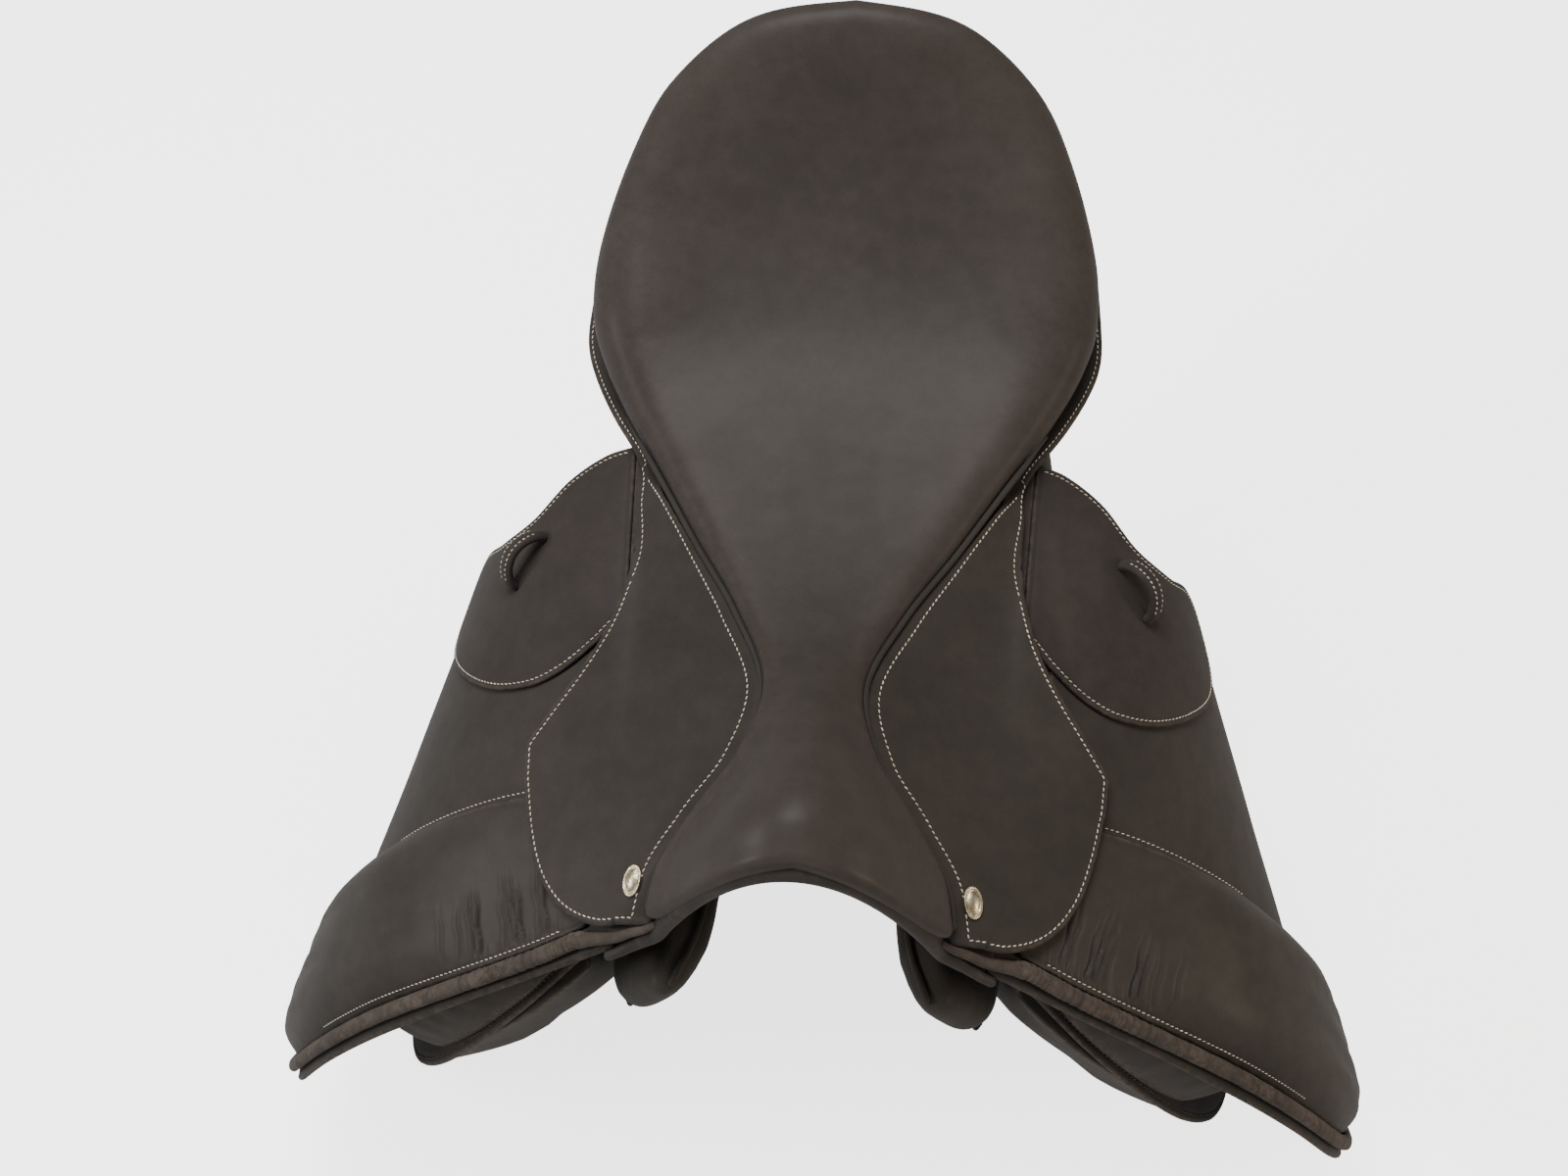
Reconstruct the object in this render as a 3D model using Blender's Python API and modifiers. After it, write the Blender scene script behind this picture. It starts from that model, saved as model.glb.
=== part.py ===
"""Jumping saddle for a horse, built as its separate pieces with real hinges.

Units are metres. +X is the rider's left, -Y the front (pommel), +Z up. The origin lies on the
centre line, level with the underside of the rear panel cushions and half way along the seat.
Leather pieces are sheets laid on two lofted surfaces, the flank of the flap and the flank of the
sweat flap under it. A point on a flank is given by (y, s): its place along the saddle and its
distance down the leather from the fold line beside the tree.
"""

import math

import bmesh
import bpy
import numpy as np
from mathutils import Matrix, Vector
from mathutils.bvhtree import BVHTree

# Driving dimensions, in metres
SEAT_LEATHER = 0.0025
FLAP_LEATHER = 0.0045
SKIRT_LEATHER = 0.0035
PATCH_LEATHER = 0.0025
SWEAT_LEATHER = 0.0040
TREE_THICKNESS = 0.0090
PLATE_THICKNESS = 0.0030
CLEAR = 0.0003
SEWN_GAP = 0.0008
PAD_EDGE = 0.0022
PLATE_GAP = 0.0018
SPRING_THICKNESS = 0.0015
WEB_THICKNESS = 0.0014
LINING_LEATHER = 0.0020

# The straight fold line beside the tree, where flap and skirt bend
FOLD_X = 0.088
FOLD_Z = 0.128
FOLD_Y = -0.232
FOLD_SPREAD = 0.056
FOLD_RISE = 0.082
HINGE_OUT = 0.003
HINGE_UP = 0.010
HINGE_Y = -0.130

# Cross-sections of the flap's outer face: y, then four Bezier points (x, z)
FLAP_SECTIONS = (
    (-0.310, ((0.0836, 0.1216), (0.175, 0.065), (0.326, 0.010), (0.330, -0.220))),
    (-0.250, ((0.0870, 0.1265), (0.170, 0.080), (0.322, 0.030), (0.322, -0.205))),
    (-0.180, ((0.0909, 0.1323), (0.165, 0.112), (0.298, 0.058), (0.298, -0.200))),
    (-0.100, ((0.0954, 0.1388), (0.168, 0.134), (0.270, 0.072), (0.270, -0.190))),
    (-0.020, ((0.0999, 0.1454), (0.170, 0.142), (0.238, 0.095), (0.235, -0.150))),
    (0.060, ((0.1043, 0.1520), (0.165, 0.130), (0.222, 0.080), (0.220, -0.100))),
)

# Cross-sections of the sweat flap's outer face
SWEAT_SECTIONS = (
    (-0.310, ((0.078, 0.108), (0.126, 0.058), (0.212, -0.005), (0.262, -0.160))),
    (-0.250, ((0.081, 0.113), (0.130, 0.072), (0.218, 0.008), (0.264, -0.155))),
    (-0.180, ((0.085, 0.119), (0.142, 0.098), (0.230, 0.028), (0.256, -0.155))),
    (-0.100, ((0.089, 0.125), (0.152, 0.115), (0.228, 0.045), (0.240, -0.145))),
    (-0.020, ((0.094, 0.132), (0.158, 0.122), (0.216, 0.068), (0.218, -0.130))),
    (0.060, ((0.098, 0.138), (0.155, 0.112), (0.203, 0.055), (0.203, -0.090))),
)

# The seat's edge from pommel foot to cantle: x, y, height, radius of the rolled edge
SEAT_EDGE = (
    (0.071, -0.232, 0.142, 0.006),
    (0.066, -0.212, 0.152, 0.006),
    (0.050, -0.188, 0.164, 0.006),
    (0.031, -0.160, 0.174, 0.005),
    (0.0225, -0.122, 0.178, 0.004),
    (0.040, -0.080, 0.174, 0.005),
    (0.064, -0.040, 0.168, 0.008),
    (0.088, 0.000, 0.167, 0.011),
    (0.113, 0.040, 0.168, 0.014),
    (0.130, 0.072, 0.173, 0.018),
    (0.138, 0.098, 0.182, 0.021),
    (0.136, 0.134, 0.197, 0.020),
    (0.120, 0.178, 0.223, 0.017),
    (0.098, 0.209, 0.245, 0.014),
    (0.058, 0.231, 0.263, 0.012),
    (0.000, 0.238, 0.269, 0.012),
)

# The seat on its centre line: y, height
SEAT_MIDDLE = (
    (-0.223, 0.227),
    (-0.208, 0.230),
    (-0.185, 0.224),
    (-0.155, 0.207),
    (-0.120, 0.190),
    (-0.080, 0.181),
    (-0.030, 0.177),
    (0.030, 0.177),
    (0.080, 0.184),
    (0.120, 0.198),
    (0.160, 0.221),
    (0.195, 0.251),
    (0.215, 0.273),
    (0.226, 0.281),
    (0.238, 0.281),
)

# The tree: y, half width, height on the centre line, fall to 60 mm out
TREE_STATIONS = (
    (-0.215, 0.056, 0.209, 0.076),
    (-0.190, 0.060, 0.207, 0.070),
    (-0.160, 0.066, 0.190, 0.049),
    (-0.110, 0.067, 0.163, 0.0185),
    (-0.050, 0.064, 0.151, 0.008),
    (0.000, 0.074, 0.147, 0.004),
    (0.050, 0.092, 0.150, 0.001),
    (0.100, 0.104, 0.162, -0.002),
    (0.150, 0.098, 0.186, -0.004),
    (0.190, 0.072, 0.216, -0.005),
    (0.215, 0.040, 0.240, -0.004),
)


def smooth_step(value):
    t = min(max(value, 0.0), 1.0)
    return t * t * (3.0 - 2.0 * t)


def spline(x, xs, values):
    """Smooth curve through the stations xs, with the mean slope of its neighbours at each."""
    xs = np.asarray(xs, float)
    values = np.asarray(values, float)
    x = min(max(x, xs[0]), xs[-1])
    slopes = np.zeros_like(values)
    spans = (xs[2:] - xs[:-2]).reshape((-1,) + (1,) * (values.ndim - 1))
    slopes[1:-1] = (values[2:] - values[:-2]) / spans
    slopes[0] = (values[1] - values[0]) / (xs[1] - xs[0])
    slopes[-1] = (values[-1] - values[-2]) / (xs[-1] - xs[-2])
    i = min(max(int(np.searchsorted(xs, x)) - 1, 0), len(xs) - 2)
    h = xs[i + 1] - xs[i]
    t = (x - xs[i]) / h
    start = (2 * t**3 - 3 * t**2 + 1) * values[i] + (t**3 - 2 * t**2 + t) * h * slopes[i]
    end = (3 * t**2 - 2 * t**3) * values[i + 1] + (t**3 - t**2) * h * slopes[i + 1]
    return start + end


def station(table, column, y):
    return float(spline(y, [row[0] for row in table], [row[column] for row in table]))


class Flank:
    """A lofted side surface, read at (y, s)."""

    def __init__(self, sections):
        self.ys = [y for y, points in sections]
        self.points = np.array([points for y, points in sections])
        self.cache = {}

    def section(self, y):
        key = round(y, 6)
        if key not in self.cache:
            a, b, c, d = spline(y, self.ys, self.points)
            t = np.linspace(0.0, 1.0, 121)[:, None]
            curve = (1 - t)**3 * a + 3 * (1 - t)**2 * t * b + 3 * (1 - t) * t**2 * c + t**3 * d
            steps = np.linalg.norm(np.diff(curve, axis=0), axis=1)
            self.cache[key] = (curve, np.concatenate([[0.0], np.cumsum(steps)]))
        return self.cache[key]

    def on(self, y, s):
        curve, lengths = self.section(y)
        if s < 0.0:
            start = (curve[1] - curve[0]) / (lengths[1] - lengths[0])
            x, z = curve[0] + start * s
        elif s > lengths[-1]:
            end = (curve[-1] - curve[-2]) / (lengths[-1] - lengths[-2])
            x, z = curve[-1] + end * (s - lengths[-1])
        else:
            x = np.interp(s, lengths, curve[:, 0])
            z = np.interp(s, lengths, curve[:, 1])
        return np.array((float(x), y, float(z)))

    def normal(self, y, s):
        step = 0.004
        along = self.on(y + step, s) - self.on(y - step, s)
        down = self.on(y, s + step) - self.on(y, s - step)
        n = np.cross(along, down)
        n = n / np.linalg.norm(n)
        return n if n[0] > 0 or n[2] > 0 else -n

    def off(self, y, s, height):
        return self.on(y, s) + height * self.normal(y, s)


FLAP = Flank(FLAP_SECTIONS)
SWEAT = Flank(SWEAT_SECTIONS)


def fold_point(y, out=0.0, up=0.0):
    run = y - FOLD_Y
    return np.array((FOLD_X + FOLD_SPREAD * run + out, y, FOLD_Z + FOLD_RISE * run + up))


def hinge_point(y):
    return fold_point(y, HINGE_OUT, HINGE_UP)


# Scene, collections and materials
for old in list(bpy.data.objects):
    bpy.data.objects.remove(old, do_unlink=True)

parts = bpy.data.collections.new("jumping_saddle")
bpy.context.scene.collection.children.link(parts)


def material(name, colour, roughness, metallic=0.0):
    """A Principled material of one piece's colour, roughness and metallic value."""
    made = bpy.data.materials.new(name)
    made.use_nodes = True
    shader = made.node_tree.nodes["Principled BSDF"]
    shader.inputs["Base Color"].default_value = (*colour, 1.0)
    shader.inputs["Roughness"].default_value = roughness
    shader.inputs["Metallic"].default_value = metallic
    return made


CHOCOLATE = (0.046, 0.037, 0.031)
WORN_BROWN = (0.100, 0.067, 0.050)
BEECH = (0.50, 0.33, 0.18)
STEEL = (0.55, 0.55, 0.54)
SILVER = (0.62, 0.57, 0.44)
WEBBING = (0.62, 0.58, 0.48)
FOAM = (0.70, 0.66, 0.52)


def finish(obj, colour, roughness=0.42, metallic=0.0):
    obj.data.materials.clear()
    obj.data.materials.append(material(obj.name + "_finish", colour, roughness, metallic))
    return obj


def mesh_object(name, vertices, faces, outward=None):
    """An object from a loft's vertices and faces; outward is a direction the first face shows."""
    mesh = bpy.data.meshes.new(name)
    mesh.from_pydata([tuple(map(float, v)) for v in vertices], [], faces)
    made = bmesh.new()
    made.from_mesh(mesh)
    bmesh.ops.remove_doubles(made, verts=made.verts, dist=0.00002)
    if outward is None:
        bmesh.ops.recalc_face_normals(made, faces=made.faces)
    else:
        made.normal_update()
        lean = sum(face.normal.dot(Vector(outward)) * face.calc_area() for face in made.faces)
        if lean < 0.0:
            bmesh.ops.reverse_faces(made, faces=made.faces)
    made.to_mesh(mesh)
    made.free()
    mesh.shade_smooth()
    obj = bpy.data.objects.new(name, mesh)
    parts.objects.link(obj)
    mesh.set_sharp_from_angle(angle=math.radians(40))
    return obj


def solidify(obj, thickness, offset=-1.0):
    shell = obj.modifiers.new("Leather", "SOLIDIFY")
    shell.thickness = thickness
    shell.offset = offset
    shell.use_quality_normals = True
    return obj


def grid_faces(rows, columns, closed=False):
    faces = []
    for i in range(rows - 1):
        for j in range(columns if closed else columns - 1):
            k = (j + 1) % columns
            faces.append((i * columns + j, i * columns + k, (i + 1) * columns + k, (i + 1) * columns + j))
    return faces


def through(points, spacing):
    """An open smooth curve through points, sampled at about the spacing."""
    points = np.array(points, float)
    lengths = np.concatenate([[0.0], np.cumsum(np.linalg.norm(np.diff(points, axis=0), axis=1))])
    count = max(int(round(lengths[-1] / spacing)), 1)
    return [spline(t, lengths, points) for t in np.linspace(0.0, lengths[-1], count + 1)]


def along_flank(front, rear, levels, spread):
    """Rows of (y, s) between a front and a rear edge, each given as (s, y) points."""
    rows = []
    for s in levels:
        start = station(front, 1, s)
        end = station(rear, 1, s)
        rows.append([(start + (end - start) * f, s) for f in spread])
    return rows


def sheet(name, side, place, rows, thickness):
    """A leather sheet: rows of (y, s) laid on a surface by place, thick inward."""
    vertices = [place(y, s) * (side, 1.0, 1.0) for row in rows for y, s in row]
    obj = mesh_object(name, vertices, grid_faces(len(rows), len(rows[0])), outward=(side * 0.8, 0.0, 0.6))
    return solidify(obj, thickness)


def pad(name, side, surface, rows, base, swell, power, sign=1.0, fill=None):
    """A padded piece: lies on its surface at height base and swells away, full in the middle."""
    count = len(rows)
    columns = len(rows[0])
    lower = []
    upper = []
    for i, row in enumerate(rows):
        v = abs(2.0 * i / (count - 1) - 1.0)
        for j, (y, s) in enumerate(row):
            u = abs(2.0 * j / (columns - 1) - 1.0)
            reach = (1.0 - u ** power) * (1.0 - v ** 8)
            if fill is not None:
                reach *= fill(y, s)
            lower.append(surface.off(y, s, sign * base))
            upper.append(surface.off(y, s, sign * (base + PAD_EDGE + swell * reach)))
    shift = len(lower)
    faces = grid_faces(count, columns)
    back = [tuple(reversed([i + shift for i in face])) for face in faces]
    border = list(range(columns))
    border += [i * columns + columns - 1 for i in range(1, count)]
    border += [(count - 1) * columns + j for j in reversed(range(columns - 1))]
    border += [i * columns for i in reversed(range(1, count - 1))]
    sides = []
    for a, b in zip(border, border[1:] + border[:1]):
        sides.append((a, b, b + shift, a + shift))
    vertices = [v * (side, 1.0, 1.0) for v in lower + upper]
    return mesh_object(name, vertices, faces + back + sides)


def tube(name, points, radius, resolution=2):
    """A bevelled POLY curve with filled caps."""
    curve = bpy.data.curves.new(name, "CURVE")
    curve.dimensions = "3D"
    line = curve.splines.new("POLY")
    line.points.add(len(points) - 1)
    for place, point in zip(line.points, points):
        place.co = (*map(float, point), 1.0)
    curve.bevel_depth = radius
    curve.bevel_resolution = resolution
    curve.use_fill_caps = True
    obj = bpy.data.objects.new(name, curve)
    parts.objects.link(obj)
    return obj


def plate(name, points, thickness, location, rotation):
    """A flat outline extruded to its thickness and placed."""
    curve = bpy.data.curves.new(name, "CURVE")
    curve.dimensions = "2D"
    curve.fill_mode = "BOTH"
    curve.extrude = thickness / 2
    line = curve.splines.new("POLY")
    line.points.add(len(points) - 1)
    for place, (x, y) in zip(line.points, points):
        place.co = (x, y, 0.0, 1.0)
    line.use_cyclic_u = True
    obj = bpy.data.objects.new(name, curve)
    obj.location = location
    obj.rotation_euler = rotation
    parts.objects.link(obj)
    return obj


def set_origin(obj, point):
    """Moves an object's origin to a point and keeps its mesh where it is."""
    shift = Vector(tuple(map(float, point)))
    obj.data.transform(Matrix.Translation(-shift))
    obj.location = shift
    return obj


SIDES = (("left", 1.0), ("right", -1.0))


# Tree: the laminated seat frame that carries everything, open under the rider
def tree_top(x, y):
    rise = station(TREE_STATIONS, 2, y)
    fall = station(TREE_STATIONS, 3, y)
    return rise - fall * (abs(x) / 0.060) ** 1.6


def tree_half_width(y):
    return station(TREE_STATIONS, 1, y)


TREE_OPENING = ((0.0, -0.135), (0.016, -0.120), (0.020, -0.080), (0.026, -0.030), (0.045, 0.030),
                (0.060, 0.080), (0.056, 0.120), (0.034, 0.150), (0.0, 0.160))


def build_tree():
    rear = [(0.066, 0.188), (0.040, 0.203), (0.0, 0.208)]
    outer = [(0.0, -0.215), (0.028, -0.215)]
    outer += [(tree_half_width(y), y) for y in (-0.208, -0.180, -0.150, -0.110, -0.070, -0.030,
                                                0.010, 0.050, 0.100, 0.140, 0.170)]
    outer += rear
    count = 21
    half_outer = np.array(through(outer, 0.001))
    half_inner = np.array(through(TREE_OPENING, 0.001))
    rows = []
    for k in range(count + 1):
        t = k / count
        a = half_outer[int(round(t * (len(half_outer) - 1)))]
        b = half_inner[int(round(t * (len(half_inner) - 1)))]
        rows.append([b + (a - b) * f for f in (0.0, 0.33, 0.67, 1.0)])
    vertices = []
    for row in rows:
        for x, y in row:
            vertices.append((max(x, 0.0), y, tree_top(x, y)))
    obj = mesh_object("tree", vertices, grid_faces(count + 1, 4), outward=(0.0, 0.0, 1.0))
    mirror = obj.modifiers.new("Other half", "MIRROR")
    mirror.merge_threshold = 0.0001
    solidify(obj, TREE_THICKNESS)
    return finish(obj, BEECH, 0.55)


TREE = build_tree()


def surface_of(obj):
    """The built surface of a piece, for laying others on it."""
    depsgraph = bpy.context.evaluated_depsgraph_get()
    depsgraph.update()
    return BVHTree.FromObject(obj, depsgraph)


TREE_SURFACE = surface_of(TREE)


def off_tree(x, y, gap, below=False):
    """A point the gap away from the built tree, above its top or under its underside."""
    way = 1.0 if below else -1.0
    place, normal = TREE_SURFACE.ray_cast(Vector((x, y, -way)), Vector((0.0, 0.0, way)))[:2]
    return (x, y, place.z - way * gap / abs(normal.z))


# Steel plates over and under the head of the tree, and the springs along its rails
def tree_strip(name, points, columns, below, thickness, colour, roughness, metallic):
    """A strip laid along the tree, on its top or against its underside."""
    gap = PLATE_GAP if below else PLATE_GAP + thickness
    vertices = [off_tree(x, y, gap, below) for x, y in points]
    faces = grid_faces(len(points) // columns, columns)
    obj = mesh_object(name, vertices, faces, outward=(0.0, 0.0, 1.0))
    solidify(obj, thickness)
    return finish(obj, colour, roughness, metallic)


HEAD_POINTS = [(0.044 * i / 6, y) for y in (-0.209, -0.204, -0.195, -0.186) for i in range(-6, 7)]
tree_strip("head_plate", HEAD_POINTS, 13, False, PLATE_THICKNESS, STEEL, 0.35, 1.0)
tree_strip("gullet_plate", HEAD_POINTS, 13, True, PLATE_THICKNESS, STEEL, 0.35, 1.0)


def build_spring(label, side):
    """A flat spring steel strip riveted under one rail."""
    points = []
    for i in range(13):
        y = -0.165 + 0.290 * i / 12
        middle = 0.62 * tree_half_width(y) + 0.006 + 0.010 * smooth_step((y - 0.040) / 0.080)
        points += [(side * (middle + w), y) for w in (-0.008, 0.0, 0.008)]
    return tree_strip("spring_" + label, points, 3, True, SPRING_THICKNESS, STEEL, 0.4, 1.0)


# Tree points: the arms that carry the head down each side of the withers
POINT_Y = -0.187
POINT_SLOPE = math.radians(42)
POINT_PATH = ((0.066, 0.124), (0.082, 0.109), (0.098, 0.0945), (0.112, 0.082))


def build_tree_point(label, side):
    path = through(POINT_PATH, 0.012)
    sections = []
    for i, (x, z) in enumerate(path):
        t = i / (len(path) - 1)
        half = 0.017 - 0.005 * t
        thick = 0.0040 - 0.0015 * t
        across = np.array((math.sin(POINT_SLOPE), 0.0, math.cos(POINT_SLOPE))) * thick
        middle = np.array((x, POINT_Y, z))
        along = np.array((0.0, half, 0.0))
        corners = [middle + across + along, middle + across - along,
                   middle - across - along, middle - across + along]
        sections += [c * (side, 1.0, 1.0) for c in corners]
    count = len(path)
    faces = grid_faces(count, 4, closed=True)
    faces += [(0, 1, 2, 3), tuple(4 * (count - 1) + k for k in (3, 2, 1, 0))]
    obj = mesh_object("tree_point_" + label, sections, faces)
    return finish(obj, CHOCOLATE, 0.5)


# Webbing stretched over the opening of the tree, under the seat foam
WEBBING_OFF_TREE = 0.0032
FOAM_OFF_TREE = 0.0062
FOAM_UNDER_LEATHER = 0.0016


def build_webbing():
    points = []
    for i in range(12):
        y = -0.125 + 0.275 * i / 11
        half = tree_half_width(y) - 0.012 - 0.012 * (1.0 - smooth_step((y + 0.060) / 0.030))
        points += [(half * f, y) for f in (-1.0, -0.75, -0.5, 0.0, 0.5, 0.75, 1.0)]
    vertices = [(x, y, tree_top(x, y) + WEBBING_OFF_TREE) for x, y in points]
    obj = mesh_object("seat_webbing", vertices, grid_faces(12, 7), outward=(0.0, 0.0, 1.0))
    solidify(obj, WEB_THICKNESS)
    return finish(obj, WEBBING, 0.9)


# Seat: a foam pad under one drawn piece of leather with a rolled edge
def seat_half_width(y):
    return station([(row[1], row[0]) for row in SEAT_EDGE], 1, y)


def seat_top(x, y):
    """Height of the seat before its edge rolls over."""
    middle = station(SEAT_MIDDLE, 1, y)
    crest = station([(row[1], row[2] + row[3]) for row in SEAT_EDGE], 1, y)
    half = max(seat_half_width(y), 0.020)
    return middle + (crest - middle) * min(abs(x) / half, 1.0) ** 2


def seat_rows():
    """Rows across half the seat: edge point with its roll, spine point and outward direction."""
    edge = through([(x, y, z, roll) for x, y, z, roll in SEAT_EDGE], 0.027)
    rows = []
    for i, (x, y, z, roll) in enumerate(edge):
        spine = y if y < 0.080 else 0.080 + 0.050 * (1.0 - math.exp((0.080 - y) / 0.050))
        if i == 0:
            spine = SEAT_MIDDLE[0][0]
        before = edge[max(i - 1, 0)]
        after = edge[min(i + 1, len(edge) - 1)]
        along = np.array((after[0] - before[0], after[1] - before[1]))
        along = along / np.linalg.norm(along)
        out = (along[1], -along[0])
        if y < -0.150:
            out = (1.0, 0.0)
        if i == len(edge) - 1:
            out = (0.0, 1.0)
        rows.append(((x, y, roll), (0.0, spine), out))
    return rows


SEAT_ROWS = seat_rows()
FLAT_COLUMNS = (0.0, 0.25, 0.5, 0.75, 1.0)
ROLL_ANGLES = (25.0, 50.0, 75.0, 100.0, 130.0)


def seat_surface_row(row, inset):
    """Points of one row, from the spine out over the rolled edge."""
    (ox, oy, radius), (cx, cy), (nx, ny) = row
    points = []
    rim = np.array((ox - nx * radius, oy - ny * radius))
    for f in FLAT_COLUMNS:
        x = cx + (rim[0] - cx) * f
        y = cy + (rim[1] - cy) * f
        points.append((max(x, 0.0), y, seat_top(max(x, 0.0), y) - inset))
    height = seat_top(max(rim[0], 0.0), rim[1])
    for angle in ROLL_ANGLES:
        a = math.radians(angle)
        reach = (radius - inset) * math.sin(a)
        drop = radius - (radius - inset) * math.cos(a)
        points.append((max(rim[0] + nx * reach, 0.0), rim[1] + ny * reach, height - drop))
    return points


def build_seat_leather():
    rows = [seat_surface_row(row, 0.0) for row in SEAT_ROWS]
    vertices = [point for row in rows for point in row]
    faces = grid_faces(len(rows), len(rows[0]))
    obj = mesh_object("seat_leather", vertices, faces, outward=(0.0, 0.0, 1.0))
    mirror = obj.modifiers.new("Other half", "MIRROR")
    mirror.merge_threshold = 0.0001
    solidify(obj, SEAT_LEATHER)
    return finish(obj, CHOCOLATE, 0.38)


def build_seat_foam():
    """Foam between tree and leather, drawn in to the rolled edge."""
    rows = []
    for row in SEAT_ROWS[4:-1]:
        top = seat_surface_row(row, SEAT_LEATHER + FOAM_UNDER_LEATHER)[:7]
        rim = station([(r[1], r[2]) for r in SEAT_EDGE], 1, row[0][1]) - 0.010
        lower = []
        for x, y, z in (top[-1], top[4], top[3], top[2], top[1], top[0]):
            floor = tree_top(x, y) + FOAM_OFF_TREE
            if x > 0.8 * row[0][0]:
                floor = max(floor, rim + 0.004)
            lower.append((x * 0.985, y, min(floor, z - 0.0012)))
        rows.append(top + lower)
    vertices = [point for row in rows for point in row]
    count = len(rows[0])
    faces = grid_faces(len(rows), count)
    faces.append(tuple(range(count)))
    faces.append(tuple((len(rows) - 1) * count + k for k in reversed(range(count))))
    obj = mesh_object("seat_foam", vertices, faces)
    mirror = obj.modifiers.new("Other half", "MIRROR")
    mirror.merge_threshold = 0.0001
    return finish(obj, FOAM, 0.95)


build_webbing()
build_seat_leather()
build_seat_foam()


# Skirts: an inner strip sewn beside the seat, and a leaf that lifts at the fold over the bar
WELT_RADIUS = 0.0022
WELT_OUT = 0.0038
LEAF_LIFT = 0.0074
LEAF_LIFT_AT_FOLD = 0.0026


def edge_stretch(y):
    """How much wider a sideways step must be to keep its distance from the slanting seat edge."""
    slope = (seat_half_width(y + 0.004) - seat_half_width(y - 0.004)) / 0.008
    return math.hypot(1.0, slope)


def seat_edge_height(y):
    return station([(row[1], row[2]) for row in SEAT_EDGE], 1, y)


def beside_seat(y, out):
    """A point beside the seat's edge, out from it by a distance across the edge."""
    return np.array((seat_half_width(y) + out * edge_stretch(y), y, seat_edge_height(y)))


def welt_point(y):
    return beside_seat(y, WELT_OUT)


def skirt_leaf_point(y, s):
    """Outer face of the lifting leaf: the fold height at s = 0, close to the flap at its edge."""
    near = smooth_step(s / 0.030)
    lift = LEAF_LIFT + LEAF_LIFT_AT_FOLD * (1.0 - smooth_step(s / 0.070))
    at_fold = FLAP.on(y, s) + np.array((HINGE_OUT, 0.0, HINGE_UP))
    return (1.0 - near) * at_fold + near * FLAP.off(y, s, lift)


def skirt_inner_point(y, f):
    """Outer face of the sewn strip, from the welt at f = 0 to the fold at f = 1."""
    start = beside_seat(y, WELT_OUT + WELT_RADIUS + 4 * CLEAR) + (0.0, 0.0, -0.0010)
    end = hinge_point(y)
    slope = skirt_leaf_point(y, 0.006) - skirt_leaf_point(y, 0.0)
    slope = slope / np.linalg.norm(slope)
    width = np.linalg.norm(end - start)
    a = start + (end - start) * 0.33 + np.array((0.0, 0.0, 0.05 * width))
    b = end - slope * width * 0.33
    return (1 - f)**3 * start + 3 * (1 - f)**2 * f * a + 3 * (1 - f) * f**2 * b + f**3 * end


SKIRT_FRONT = ((0.0006, -0.237), (0.010, -0.236), (0.024, -0.230), (0.037, -0.220), (0.047, -0.205),
               (0.053, -0.185), (0.057, -0.158))
SKIRT_REAR = ((0.0006, -0.036), (0.004, -0.055), (0.013, -0.080), (0.028, -0.104), (0.047, -0.128),
              (0.053, -0.135), (0.057, -0.140))
SKIRT_LEVELS = (0.0006, 0.005, 0.012, 0.020, 0.030, 0.040, 0.048, 0.053, 0.057)

STRIP_REAR_Y = 0.150


def strip_outer(y):
    """Outer edge of the stitched strip that runs on under the rolled edge of the seat."""
    roll = station([(row[1], row[3]) for row in SEAT_EDGE], 1, y)
    drop = 0.643 * roll + 0.0020 + 0.0055 * smooth_step((y - 0.030) / 0.090)
    return beside_seat(y, 0.0035) - (0.0, 0.0, drop)


def build_skirt_inner(label, side):
    ys = [-0.236, -0.215, -0.190, -0.165, -0.140, -0.115, -0.090, -0.065, -0.040, -0.015]
    rows = []
    for y in ys:
        rows.append([skirt_inner_point(y, f) for f in (0.0, 0.2, 0.4, 0.6, 0.8, 0.98)])
    for y in (0.010, 0.035, 0.060, 0.085, 0.110, 0.130, STRIP_REAR_Y):
        outer = strip_outer(y)
        if y < 0.040:
            mix = smooth_step((y + 0.015) / 0.055)
            outer = (1.0 - mix) * hinge_point(y) + mix * outer
        inner = outer + np.array((-0.012, 0.0, 0.0))
        rows.append([inner + (outer - inner) * f for f in (0.0, 0.2, 0.4, 0.6, 0.8, 1.0)])
    vertices = [p * (side, 1.0, 1.0) for row in rows for p in row]
    obj = mesh_object("skirt_inner_" + label, vertices, grid_faces(len(rows), 6),
                      outward=(side * 0.3, 0.0, 1.0))
    solidify(obj, SKIRT_LEATHER)
    return finish(obj, CHOCOLATE, 0.42)


def build_skirt(label, side):
    rows = along_flank(SKIRT_FRONT, SKIRT_REAR, SKIRT_LEVELS, (0.0, 0.14, 0.34, 0.56, 0.78, 1.0))
    obj = sheet("skirt_" + label, side, skirt_leaf_point, rows, SKIRT_LEATHER)
    set_origin(obj, hinge_point(HINGE_Y) * (side, 1.0, 1.0))
    return finish(obj, CHOCOLATE, 0.42)


def build_welt(label, side):
    ys = [-0.228 + 0.262 * i / 15 for i in range(16)]
    points = [(welt_point(y) + (0.0, 0.0, 0.0006)) * (side, 1.0, 1.0) for y in ys]
    return finish(tube("seat_welt_" + label, points, WELT_RADIUS), CHOCOLATE, 0.4)


# Oval nail heads that pin the front corner of each skirt
NAIL_PLACE = (0.0830, -0.216)
NAIL_SIZE = (0.0052, 0.0080)


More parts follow.
